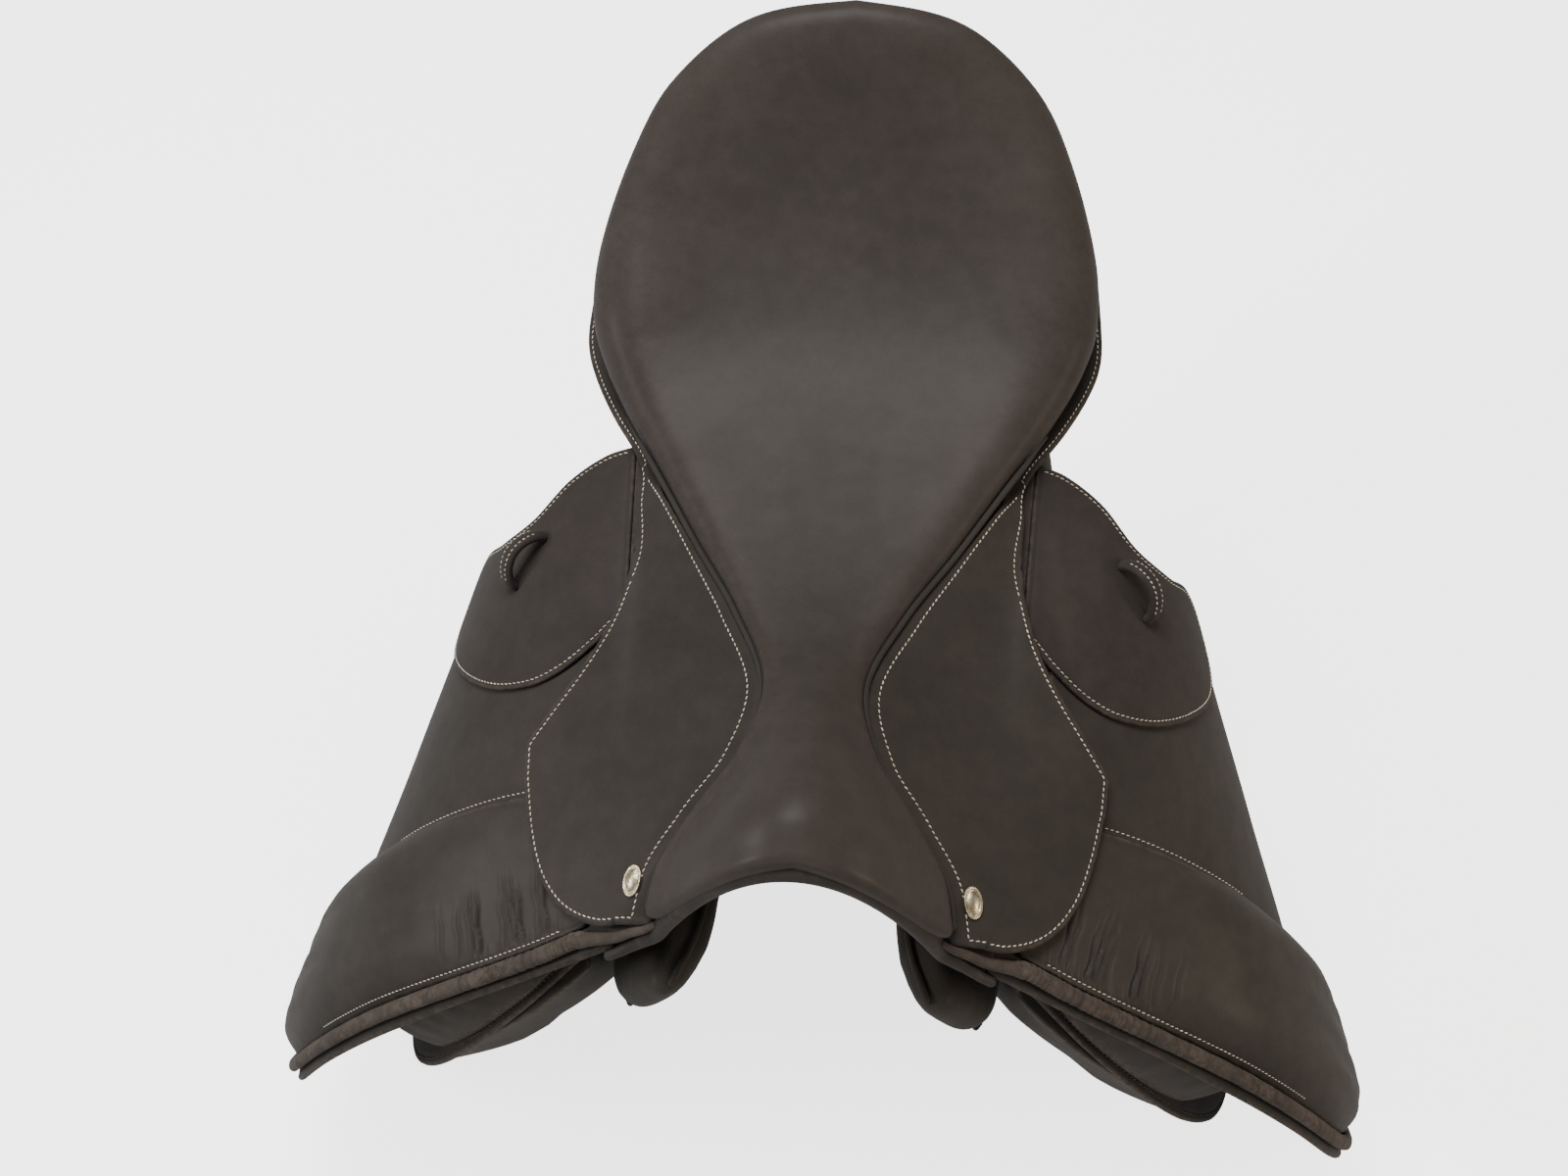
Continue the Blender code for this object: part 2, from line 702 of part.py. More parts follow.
def build_nail(label, side):
    """A domed oval head turned from a profile and drawn out lengthwise."""
    f = 0.50
    place = skirt_inner_point(NAIL_PLACE[1], f)
    ahead = skirt_inner_point(NAIL_PLACE[1] + 0.004, f)
    across = skirt_inner_point(NAIL_PLACE[1], f + 0.05)
    long_way = Vector(ahead - place).normalized()
    normal = Vector(across - place).cross(long_way).normalized()
    wide_way = long_way.cross(normal)
    made = bmesh.new()
    profile = ((0.0, 0.0), (1.0, 0.0), (1.0, 0.0009), (0.86, 0.0014), (0.50, 0.0021), (0.0, 0.0024))
    rows = []
    for r, h in profile:
        ring = []
        for i in range(20):
            turn = 2 * math.pi * i / 20
            point = Vector(place) + normal * (h + CLEAR)
            point += wide_way * (r * NAIL_SIZE[0] * math.cos(turn))
            point += long_way * (r * NAIL_SIZE[1] * math.sin(turn))
            ring.append(made.verts.new(point))
        rows.append(ring)
    for a, b in zip(rows, rows[1:]):
        for i in range(20):
            made.faces.new((a[i], a[(i + 1) % 20], b[(i + 1) % 20], b[i]))
    bmesh.ops.remove_doubles(made, verts=made.verts, dist=0.00001)
    bmesh.ops.transform(made, matrix=Matrix.Diagonal((side, 1.0, 1.0, 1.0)), verts=made.verts)
    bmesh.ops.recalc_face_normals(made, faces=made.faces)
    mesh = bpy.data.meshes.new("skirt_nail_" + label)
    made.to_mesh(mesh)
    made.free()
    obj = bpy.data.objects.new("skirt_nail_" + label, mesh)
    parts.objects.link(obj)
    mesh.shade_smooth()
    mesh.set_sharp_from_angle(angle=math.radians(30))
    return finish(obj, SILVER, 0.3, 1.0)


# Pommel facing: the rounded leather roll round the front arch, just under the seat leather
FACING_RADIUS = 0.0045
FACING_DROP = 0.0125


def build_facing():
    points = []
    count = 18
    half_width = SEAT_EDGE[0][0] + 0.003
    for i in range(count + 1):
        f = 2.0 * i / count - 1.0
        x = half_width * f
        y = SEAT_MIDDLE[0][0] - 0.0035 - 0.012 * f * f
        points.append((x, y, seat_top(x, -0.228) - FACING_DROP - 0.007 * abs(f) ** 3))
    return finish(tube("pommel_facing", points, FACING_RADIUS), CHOCOLATE, 0.4)


# Flaps: the long forward-cut leather that hangs from the fold, notched round the stirrup bar
FLAP_FRONT = ((0.004, -0.244), (0.055, -0.256), (0.105, -0.266), (0.155, -0.275), (0.230, -0.284),
              (0.290, -0.286), (0.340, -0.277), (0.388, -0.256), (0.410, -0.236), (0.424, -0.215),
              (0.434, -0.190), (0.438, -0.165))
FLAP_REAR = ((0.004, 0.031), (0.024, 0.027), (0.046, 0.015), (0.070, -0.005), (0.098, -0.010),
             (0.140, 0.001), (0.200, -0.010), (0.280, -0.024), (0.340, -0.034), (0.388, -0.048),
             (0.410, -0.062), (0.424, -0.080), (0.434, -0.105), (0.438, -0.130))
FLAP_LEVELS = (0.004, 0.010, 0.020, 0.036, 0.060, 0.090, 0.120, 0.150, 0.180, 0.210, 0.240, 0.270,
               0.300, 0.330, 0.360, 0.388, 0.410, 0.424, 0.434, 0.438)
FLAP_SPREAD = (0.0, 0.08, 0.145, 0.181, 0.30, 0.45, 0.572, 0.623, 0.74, 0.88, 1.0)

# The notch in its top edge that clears the stirrup bar: y of the two slanting sides, and depth
NOTCH = (-0.206, -0.196, -0.088, -0.074)
NOTCH_DEPTH = 0.019


def notched(y, s):
    """Lowers the top edge of the flap and of its knee pad where the stirrup bar stands."""
    front = min(max((y - NOTCH[0]) / (NOTCH[1] - NOTCH[0]), 0.0), 1.0)
    rear = min(max((NOTCH[3] - y) / (NOTCH[3] - NOTCH[2]), 0.0), 1.0)
    share = max(0.0, 1.0 - (s - FLAP_LEVELS[0]) / 0.086)
    return s + NOTCH_DEPTH * min(front, rear) * share


def build_flap(label, side):
    rows = along_flank(FLAP_FRONT, FLAP_REAR, FLAP_LEVELS, FLAP_SPREAD)
    rows = [[(y, notched(y, s)) for y, s in row] for row in rows]
    obj = sheet("flap_" + label, side, FLAP.on, rows, FLAP_LEATHER)
    set_origin(obj, hinge_point(HINGE_Y) * (side, 1.0, 1.0))
    return finish(obj, CHOCOLATE, 0.4)


# Rear patches sewn on the flaps under the rider's leg, each with a loop for the stirrup leather
PATCH_FRONT = ((0.0065, -0.070), (0.013, -0.0855), (0.020, -0.095), (0.028, -0.1045), (0.036, -0.107),
               (0.056, -0.108), (0.094, -0.104), (0.138, -0.092), (0.160, -0.078), (0.172, -0.066),
               (0.180, -0.054), (0.184, -0.043))
PATCH_REAR = ((0.0065, 0.0285), (0.024, 0.0245), (0.046, 0.0125), (0.070, -0.0075), (0.098, -0.0125),
              (0.140, -0.0015), (0.160, -0.0060), (0.172, -0.013), (0.180, -0.022), (0.184, -0.032))
PATCH_LEVELS = (0.0065, 0.013, 0.020, 0.028, 0.036, 0.048, 0.060, 0.075, 0.090, 0.105, 0.120, 0.135,
                0.150, 0.165, 0.176, 0.184)


def patch_point(y, s):
    return FLAP.off(y, s, PATCH_LEATHER + SEWN_GAP)


def build_patch(label, side):
    rows = along_flank(PATCH_FRONT, PATCH_REAR, PATCH_LEVELS, (0.0, 0.2, 0.4, 0.6, 0.8, 1.0))
    obj = sheet("flap_patch_" + label, side, patch_point, rows, PATCH_LEATHER)
    return finish(obj, CHOCOLATE, 0.45)


KEEPER_ENDS = ((-0.022, 0.059), (-0.047, 0.077))
KEEPER_RISE = 0.010
KEEPER_RADIUS = 0.0030


def build_keeper(label, side):
    """A stitched leather loop that stands off the patch, wide enough for a stirrup leather."""
    points = []
    count = 14
    for i in range(count + 1):
        t = i / count
        y = KEEPER_ENDS[0][0] + (KEEPER_ENDS[1][0] - KEEPER_ENDS[0][0]) * t
        s = KEEPER_ENDS[0][1] + (KEEPER_ENDS[1][1] - KEEPER_ENDS[0][1]) * t
        height = PATCH_LEATHER + 2 * SEWN_GAP + KEEPER_RADIUS + KEEPER_RISE * math.sin(math.pi * t) ** 0.6
        points.append(FLAP.off(y, s, height) * (side, 1.0, 1.0))
    return finish(tube("keeper_loop_" + label, points, KEEPER_RADIUS), CHOCOLATE, 0.45)


# Knee pads: the padded pockets sewn along the front of the flaps, edged by a piped gusset
KNEE_FRONT = ((0.020, -0.2335), (0.055, -0.243), (0.105, -0.253), (0.155, -0.261), (0.230, -0.271),
              (0.286, -0.273), (0.334, -0.264), (0.370, -0.248), (0.392, -0.230), (0.404, -0.212))
KNEE_REAR = ((0.020, -0.166), (0.060, -0.166), (0.140, -0.172), (0.220, -0.177), (0.300, -0.176),
             (0.350, -0.177), (0.380, -0.181), (0.396, -0.188), (0.404, -0.198))
KNEE_LEVELS = (0.020, 0.036, 0.060, 0.090, 0.120, 0.150, 0.180, 0.210, 0.240, 0.270, 0.300, 0.330,
               0.360, 0.384, 0.404)
KNEE_SWELL = 0.013


def knee_fill(y, s):
    """The pocket is thin under the skirt and full lower down."""
    return smooth_step((s - 0.060) / 0.110)


def build_knee_pad(label, side):
    rows = along_flank(KNEE_FRONT, KNEE_REAR, KNEE_LEVELS, (0.0, 0.1, 0.28, 0.5, 0.72, 0.9, 1.0))
    rows = [[(y, notched(y, s)) for y, s in row] for row in rows]
    obj = pad("knee_pad_" + label, side, FLAP, rows, SEWN_GAP, KNEE_SWELL, 2.6, fill=knee_fill)
    return finish(obj, CHOCOLATE, 0.36)


GUSSET_RADIUS = 0.0038
GUSSET_OUT = 0.0052


def build_gusset(label, side):
    """The lighter piped band between knee pad and flap edge, from under the skirt round the tip."""
    edge = [(y, s) for s, y in KNEE_FRONT]
    edge = through(edge, 0.020)
    path = []
    for i, at in enumerate(edge):
        before = edge[max(i - 1, 0)]
        after = edge[min(i + 1, len(edge) - 1)]
        along = (after - before) / np.linalg.norm(after - before)
        y, s = at + np.array((-along[1], along[0])) * GUSSET_OUT
        path.append(FLAP.off(y, s, GUSSET_RADIUS + SEWN_GAP) * (side, 1.0, 1.0))
    return finish(tube("flap_gusset_" + label, path, GUSSET_RADIUS), WORN_BROWN, 0.6)


# Stirrup bars: a forged plate on the tree with a hook-shaped bar, open to the rear
BAR_TILT = math.radians(19)
BAR_PITCH = math.atan(FOLD_RISE)
BAR_PLACE = (0.0965, -0.140, 0.1339)
BAR_THICKNESS = 0.0050
BAR_OUTLINE = ((-0.033, -0.020), (-0.030, -0.024), (-0.028, -0.027), (-0.0265, -0.032), (-0.026, -0.046),
               (-0.022, -0.050), (0.009, -0.052), (0.014, -0.047), (0.014, 0.030), (0.003, 0.030),
               (0.003, -0.036), (0.000, -0.040), (-0.008, -0.040), (-0.012, -0.036), (-0.012, 0.038),
               (-0.016, 0.044), (-0.029, 0.044), (-0.033, 0.040))
CATCH_LENGTH = 0.016
CATCH_WIDTH = 0.0105


def bar_turn(side):
    """The bar lies along the fold: tilted down outward, and rising to the rear."""
    return Matrix.Rotation(side * BAR_TILT, 3, "Y") @ Matrix.Rotation(BAR_PITCH, 3, "X")


def bar_place(side):
    return Vector((side * BAR_PLACE[0], BAR_PLACE[1], BAR_PLACE[2]))


def build_bar(label, side):
    points = [(side * x, y) for x, y in BAR_OUTLINE]
    obj = plate("stirrup_bar_" + label, points, BAR_THICKNESS, bar_place(side), bar_turn(side).to_euler())
    return finish(obj, STEEL, 0.35, 1.0)


def build_catch(label, side):
    """The thumb-piece hinged on the bar's open end: in line it frees the leather, raised it keeps it."""
    profile = ((0.0, 0.0), (CATCH_LENGTH - 0.003, 0.0), (CATCH_LENGTH, -0.0015),
               (CATCH_LENGTH, -0.0035), (CATCH_LENGTH - 0.003, -BAR_THICKNESS), (0.0, -BAR_THICKNESS))
    turn = bar_turn(side)
    sides = (-CATCH_WIDTH / 2, CATCH_WIDTH / 2)
    vertices = [turn @ Vector((x, y, z)) for x in sides for y, z in profile]
    n = len(profile)
    faces = [tuple(range(n)), tuple(reversed(range(n, 2 * n)))]
    faces += [(i, (i + 1) % n, n + (i + 1) % n, n + i) for i in range(n)]
    obj = mesh_object("bar_catch_" + label, vertices, faces)
    obj.location = turn @ Vector((side * 0.0085, 0.0303, BAR_THICKNESS / 2)) + bar_place(side)
    return finish(obj, STEEL, 0.35, 1.0)


# Girth webs and straps: webbing under the rails, and two straps a side lying on the sweat flap
STRAP_LEATHER = 0.0040
STRAP_WIDTH = 0.030
STRAPS = (("front", -0.118), ("rear", -0.070))


def build_girth_web(label, side):
    """A webbing apron from under the rail, over the sweat flap's top to the tops of the straps."""
    ys = (-0.140, -0.117, -0.094, -0.071, -0.048)
    rows = []
    for y in ys:
        row = [np.array((x, y, z)) for x, z in ((0.044, 0.1270), (0.062, 0.1262), (0.080, 0.1262))]
        row += [SWEAT.off(y, s, 0.0026) for s in (0.006, 0.020, 0.033)]
        rows.append(row)
    vertices = [p * (side, 1.0, 1.0) for row in rows for p in row]
    obj = mesh_object("girth_web_" + label, vertices, grid_faces(len(ys), 6), outward=(0.0, 0.0, 1.0))
    solidify(obj, WEB_THICKNESS)
    return finish(obj, WEBBING, 0.9)


STRAP_LEVELS = (0.036, 0.048, 0.060, 0.090, 0.120, 0.150, 0.180, 0.210, 0.240, 0.262, 0.290)


def strap_height(s):
    return STRAP_LEATHER + 2 * SEWN_GAP + 0.004 * smooth_step((s - 0.05) / 0.2)


def build_girth_straps(label, side):
    for end, middle in STRAPS:
        vertices = []
        for s in STRAP_LEVELS:
            for w in (-STRAP_WIDTH / 2, STRAP_WIDTH / 2):
                vertices.append(SWEAT.off(middle + w, s, strap_height(s)) * (side, 1.0, 1.0))
        obj = mesh_object("girth_strap_" + end + "_" + label, vertices, grid_faces(len(STRAP_LEVELS), 2),
                          outward=(side * 0.9, 0.0, 0.4))
        solidify(obj, STRAP_LEATHER)
        set_origin(obj, SWEAT.off(middle, STRAP_LEVELS[0], STRAP_LEATHER / 2 + SEWN_GAP) * (side, 1.0, 1.0))
        finish(obj, CHOCOLATE, 0.5)


# Sweat flaps under the flaps, their knee blocks, and the padded panel leather on the horse's side
SWEAT_FRONT = ((0.006, -0.224), (0.045, -0.243), (0.095, -0.262), (0.150, -0.274), (0.200, -0.277),
               (0.248, -0.268), (0.280, -0.249), (0.300, -0.226), (0.312, -0.196), (0.318, -0.160))
SWEAT_REAR = ((0.006, 0.006), (0.070, 0.000), (0.135, -0.012), (0.210, -0.026), (0.262, -0.036),
              (0.290, -0.052), (0.306, -0.076), (0.314, -0.100), (0.318, -0.125))
SWEAT_LEVELS = (0.006, 0.020, 0.036, 0.060, 0.090, 0.120, 0.150, 0.180, 0.210, 0.240, 0.262, 0.284,
                0.300, 0.312, 0.318)


def build_sweat_flap(label, side):
    rows = along_flank(SWEAT_FRONT, SWEAT_REAR, SWEAT_LEVELS, (0.0, 0.15, 0.33, 0.5, 0.67, 0.85, 1.0))
    obj = sheet("sweat_flap_" + label, side, SWEAT.on, rows, SWEAT_LEATHER)
    return finish(obj, CHOCOLATE, 0.5)


BLOCK_FRONT = ((0.048, -0.239), (0.085, -0.255), (0.135, -0.267), (0.185, -0.269), (0.210, -0.261),
               (0.222, -0.250))
BLOCK_REAR = ((0.048, -0.220), (0.090, -0.208), (0.140, -0.206), (0.190, -0.214), (0.210, -0.222),
              (0.222, -0.234))
BLOCK_LEVELS = (0.048, 0.060, 0.090, 0.120, 0.150, 0.180, 0.200, 0.214, 0.222)
BLOCK_SWELL = 0.028


def block_fill(y, s):
    return smooth_step((s - 0.020) / 0.120)


def build_knee_block(label, side):
    rows = along_flank(BLOCK_FRONT, BLOCK_REAR, BLOCK_LEVELS, (0.0, 0.08, 0.3, 0.6, 0.9, 1.0))
    obj = pad("knee_block_" + label, side, SWEAT, rows, SEWN_GAP, BLOCK_SWELL, 3.5, fill=block_fill)
    return finish(obj, CHOCOLATE, 0.45)


PANEL_FLAP_FRONT = ((0.040, -0.246), (0.060, -0.254), (0.096, -0.264), (0.150, -0.271), (0.200, -0.274),
                    (0.245, -0.265), (0.276, -0.246), (0.296, -0.220), (0.306, -0.192), (0.312, -0.160))
PANEL_FLAP_REAR = ((0.040, -0.232), (0.060, -0.214), (0.075, -0.180), (0.090, -0.110), (0.105, -0.030),
                   (0.135, -0.017), (0.210, -0.031), (0.260, -0.042), (0.285, -0.058), (0.300, -0.082),
                   (0.308, -0.102), (0.312, -0.122))
PANEL_FLAP_LEVELS = (0.040, 0.048, 0.060, 0.075, 0.090, 0.105, 0.120, 0.150, 0.180, 0.210, 0.240, 0.262,
                     0.284, 0.298, 0.308, 0.312)
PANEL_FLAP_SWELL = 0.054


def panel_fill(y, s):
    """A thick roll along the front, thin under the rider's leg and beside the cushion."""
    front = 1.0 - smooth_step((y + 0.225) / 0.085)
    return 0.14 + 0.86 * front * smooth_step((s - 0.036) / 0.056)


def build_panel_flap(label, side):
    rows = along_flank(PANEL_FLAP_FRONT, PANEL_FLAP_REAR, PANEL_FLAP_LEVELS,
                       (0.0, 0.02, 0.05, 0.10, 0.18, 0.32, 0.5, 0.72, 0.9, 1.0))
    obj = pad("panel_flap_" + label, side, SWEAT, rows, SWEAT_LEATHER + 2 * SEWN_GAP, PANEL_FLAP_SWELL,
              10.0, sign=-1.0, fill=panel_fill)
    return finish(obj, CHOCOLATE, 0.5)


# Panel cushions: y, the section's middle line (inner x, z, outer x, z) and its half thickness
PANEL_SECTIONS = (
    (-0.262, 0.066, 0.106, 0.084, 0.066, 0.006),
    (-0.252, 0.062, 0.106, 0.092, 0.052, 0.014),
    (-0.228, 0.054, 0.101, 0.097, 0.044, 0.019),
    (-0.190, 0.049, 0.096, 0.103, 0.044, 0.021),
    (-0.155, 0.045, 0.092, 0.110, 0.048, 0.024),
    (-0.110, 0.042, 0.090, 0.118, 0.058, 0.031),
    (-0.050, 0.041, 0.084, 0.122, 0.062, 0.040),
    (0.010, 0.041, 0.076, 0.126, 0.062, 0.047),
    (0.065, 0.042, 0.064, 0.126, 0.060, 0.055),
    (0.120, 0.046, 0.061, 0.116, 0.061, 0.061),
    (0.165, 0.048, 0.071, 0.102, 0.073, 0.053),
    (0.200, 0.050, 0.088, 0.086, 0.090, 0.036),
    (0.220, 0.056, 0.104, 0.074, 0.104, 0.014),
)


def build_panel(label, side):
    ys = [row[0] for row in PANEL_SECTIONS]
    values = np.array([row[1:] for row in PANEL_SECTIONS])
    rows = []
    count = 16
    for y in ys:
        x0, z0, x1, z1, h = spline(y, ys, values)
        inner = np.array((x0, z0))
        outer = np.array((x1, z1))
        along = (outer - inner) / np.linalg.norm(outer - inner)
        across = np.array((-along[1], along[0]))
        middle = (inner + outer) / 2
        reach = np.linalg.norm(outer - inner) / 2
        for i in range(count):
            a = 2 * math.pi * i / count
            u = math.copysign(abs(math.cos(a)) ** 0.62, math.cos(a)) * reach
            v = math.copysign(abs(math.sin(a)) ** 0.80, math.sin(a)) * h
            x, z = middle + along * u + across * v
            rows.append((side * x, y, z))
    faces = grid_faces(len(ys), count, closed=True)
    faces.append(tuple(range(count)))
    faces.append(tuple((len(ys) - 1) * count + k for k in reversed(range(count))))
    obj = mesh_object("panel_" + label, rows, faces)
    return finish(obj, CHOCOLATE, 0.5)


# Cantle back: the leather facing that closes the rear from the seat's rolled edge to the panels
def build_cantle_back():
    edge = [p for p in through([(x, y, z, roll) for x, y, z, roll in SEAT_EDGE], 0.020) if p[1] > 0.060]
    half = []
    for x, y, z, roll in edge:
        reach = math.hypot(x, y - 0.060)
        inset = 1.0 - 0.013 / max(reach, 0.02)
        half.append((x * inset, 0.060 + (y - 0.060) * inset, z - 0.014))
    rows = []
    for x, y, top in half:
        back = smooth_step((y - 0.060) / 0.150)
        foot = 0.128 + 0.004 * back
        rows.append([(x * (1.0 - 0.16 * f), y - 0.012 * f * back, top + (foot - top) * f)
                     for f in (0.0, 0.33, 0.67, 1.0)])
    mirrored = [[(-x, y, z) for x, y, z in row] for row in rows[:-1]]
    rows = mirrored + [rows[-1]] + rows[-2::-1]
    vertices = [point for row in rows for point in row]
    obj = mesh_object("cantle_back", vertices, grid_faces(len(rows), 4), outward=(0.0, 1.0, 0.0))
    solidify(obj, SKIRT_LEATHER)
    return finish(obj, CHOCOLATE, 0.42)


# Gullet lining: the leather that closes the underside between the two cushions: y, half width,
# height on the centre line and at its edges
LINING_STATIONS = (
    (-0.205, 0.046, 0.176, 0.120),
    (-0.170, 0.044, 0.158, 0.1185),
    (-0.130, 0.042, 0.139, 0.1190),
    (-0.080, 0.040, 0.129, 0.1195),
    (0.000, 0.038, 0.125, 0.1190),
    (0.080, 0.038, 0.124, 0.1190),
    (0.150, 0.042, 0.124, 0.1185),
    (0.195, 0.046, 0.125, 0.1200),
)


def build_lining():
    ys = (-0.205, -0.188, -0.170, -0.150, -0.130, -0.105, -0.080, -0.040, 0.000, 0.080, 0.150, 0.195)
    vertices = []
    for y in ys:
        half, middle, edge = [station(LINING_STATIONS, k, y) for k in (1, 2, 3)]
        for f in (-1.0, -0.6, -0.2, 0.2, 0.6, 1.0):
            vertices.append((half * f, y, middle + (edge - middle) * f * f))
    obj = mesh_object("gullet_lining", vertices, grid_faces(len(ys), 6), outward=(0.0, 0.0, 1.0))
    solidify(obj, LINING_LEATHER)
    return finish(obj, CHOCOLATE, 0.55)


for label, side in SIDES:
    build_girth_web(label, side)
    build_girth_straps(label, side)
    build_sweat_flap(label, side)
    build_knee_block(label, side)
    build_panel_flap(label, side)
    build_panel(label, side)
    build_bar(label, side)
    build_catch(label, side)
    build_spring(label, side)
    build_tree_point(label, side)
    build_skirt_inner(label, side)
    build_skirt(label, side)
    build_welt(label, side)
    build_nail(label, side)
    build_flap(label, side)
    build_patch(label, side)
    build_keeper(label, side)
    build_knee_pad(label, side)
    build_gusset(label, side)
build_facing()
build_cantle_back()
build_lining()
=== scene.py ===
"""Looks of a jumping saddle: leather, thread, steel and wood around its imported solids.

Metres, +X the rider's left, -Y the pommel, +Z up. Left and right pieces are made by one section.
"""

import math

import bmesh
import bpy
import numpy as np
from mathutils import Matrix, Vector
from mathutils.geometry import delaunay_2d_cdt


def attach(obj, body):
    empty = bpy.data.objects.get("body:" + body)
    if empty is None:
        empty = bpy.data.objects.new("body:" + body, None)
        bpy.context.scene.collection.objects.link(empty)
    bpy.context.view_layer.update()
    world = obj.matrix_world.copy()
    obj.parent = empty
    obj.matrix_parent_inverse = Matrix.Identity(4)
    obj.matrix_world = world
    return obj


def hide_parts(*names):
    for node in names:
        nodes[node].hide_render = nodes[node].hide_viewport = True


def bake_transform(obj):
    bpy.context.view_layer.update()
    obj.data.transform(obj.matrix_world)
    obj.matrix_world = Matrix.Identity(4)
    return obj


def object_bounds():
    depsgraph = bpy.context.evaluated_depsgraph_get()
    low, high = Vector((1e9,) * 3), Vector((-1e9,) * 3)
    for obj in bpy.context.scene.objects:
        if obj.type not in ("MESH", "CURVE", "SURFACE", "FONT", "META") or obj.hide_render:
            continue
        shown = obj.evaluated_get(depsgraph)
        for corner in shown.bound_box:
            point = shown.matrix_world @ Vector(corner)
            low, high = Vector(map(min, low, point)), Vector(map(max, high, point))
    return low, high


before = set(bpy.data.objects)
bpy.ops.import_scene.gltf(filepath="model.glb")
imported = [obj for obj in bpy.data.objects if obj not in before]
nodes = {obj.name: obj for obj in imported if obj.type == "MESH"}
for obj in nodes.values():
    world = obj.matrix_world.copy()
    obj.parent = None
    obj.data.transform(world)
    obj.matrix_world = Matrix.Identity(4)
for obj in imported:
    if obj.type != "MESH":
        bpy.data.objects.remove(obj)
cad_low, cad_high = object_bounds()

SIDES = (("left", 1.0), ("right", -1.0))


# Tree, tree points and steelwork
# The laminated beech frame that everything is nailed to, sealed and stained so dark that it passes for
# painted shade where it shows in gaps, its steel head plates and rail springs, and the two arms that reach
# down beside the withers. All stay the imported solids.
def shader_material(name, roughness=0.5, metallic=0.0, specular=0.5, coat=0.0, sheen=0.0):
    """A new material with one Principled shader, whose uniform values sit on its own sockets."""
    made = bpy.data.materials.new(name)
    made.use_nodes = True
    shader = made.node_tree.nodes["Principled BSDF"]
    shader.inputs["Roughness"].default_value = roughness
    shader.inputs["Metallic"].default_value = metallic
    shader.inputs["Specular IOR Level"].default_value = specular
    shader.inputs["Coat Weight"].default_value = coat
    shader.inputs["Coat Roughness"].default_value = 0.35
    shader.inputs["Sheen Weight"].default_value = sheen
    shader.inputs["Sheen Roughness"].default_value = 0.5
    return made, shader


def new_group(name, inputs, outputs):
    """A node group with float or colour inputs (name, value) and named outputs."""
    group = bpy.data.node_groups.new(name, "ShaderNodeTree")
    for socket, value in inputs:
        kind = "NodeSocketColor" if isinstance(value, tuple) else "NodeSocketFloat"
        made = group.interface.new_socket(socket, in_out="INPUT", socket_type=kind)
        made.default_value = value
    for socket, kind in outputs:
        group.interface.new_socket(socket, in_out="OUTPUT", socket_type=kind)
    start = group.nodes.new("NodeGroupInput")
    end = group.nodes.new("NodeGroupOutput")
    return group, start, end


def math_node(tree, operation, first, second=None, third=None, clamp=False):
    """A math node fed by sockets or numbers; gives its output socket."""
    node = tree.nodes.new("ShaderNodeMath")
    node.operation = operation
    node.use_clamp = clamp
    for socket, value in zip(node.inputs, (first, second, third)):
        if isinstance(value, (int, float)):
            socket.default_value = value
        elif value is not None:
            tree.links.new(value, socket)
    return node.outputs[0]


def mix_colour(tree, amount, first, second):
    """A colour mix of two sockets or colours by an amount socket; gives its output socket."""
    node = tree.nodes.new("ShaderNodeMix")
    node.data_type = "RGBA"
    for index, value in ((0, amount), (6, first), (7, second)):
        if isinstance(value, (int, float, tuple)):
            node.inputs[index].default_value = value
        else:
            tree.links.new(value, node.inputs[index])
    return node.outputs[2]


def noise(tree, place, scale, detail=3.0, roughness=0.55):
    """A noise texture at a place socket; gives its factor socket."""
    node = tree.nodes.new("ShaderNodeTexNoise")
    node.inputs["Scale"].default_value = scale
    node.inputs["Detail"].default_value = detail
    node.inputs["Roughness"].default_value = roughness
    tree.links.new(place, node.inputs["Vector"])
    return node.outputs["Fac"]


def spread_over(tree, value, low, high):
    """Maps a factor's low..high to 0..1, clamped."""
    node = tree.nodes.new("ShaderNodeMapRange")
    node.inputs["From Min"].default_value = low
    node.inputs["From Max"].default_value = high
    tree.links.new(value, node.inputs["Value"])
    return node.outputs["Result"]


def object_place(tree, stretch=(1.0, 1.0, 1.0)):
    """Object coordinates, stretched along the axes."""
    place = tree.nodes.new("ShaderNodeTexCoord")
    mapping = tree.nodes.new("ShaderNodeMapping")
    mapping.inputs["Scale"].default_value = stretch
    tree.links.new(place.outputs["Object"], mapping.inputs["Vector"])
    return mapping.outputs["Vector"]


def bump(tree, height, shader, strength, distance):
    """Feeds a height socket through a Bump node to the shader's normal."""
    node = tree.nodes.new("ShaderNodeBump")
    node.inputs["Strength"].default_value = strength
    node.inputs["Distance"].default_value = distance
    tree.links.new(height, node.inputs["Height"])
    tree.links.new(node.outputs["Normal"], shader.inputs["Normal"])


def paint(node_name, made):
    """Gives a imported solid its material."""
    solid = nodes[node_name]
    solid.data.materials.clear()
    solid.data.materials.append(made)


# Painted shade: a real dark stain, kept near black so that the wood passes for shade where it shows in gaps.
BEECH_DARK = (0.046, 0.030, 0.020, 1)
BEECH_LIGHT = (0.092, 0.062, 0.041, 1)
BEECH_PORE = (0.024, 0.016, 0.011, 1)
STEEL_DARK = (0.42, 0.42, 0.41, 1)
STEEL_LIGHT = (0.66, 0.65, 0.63, 1)


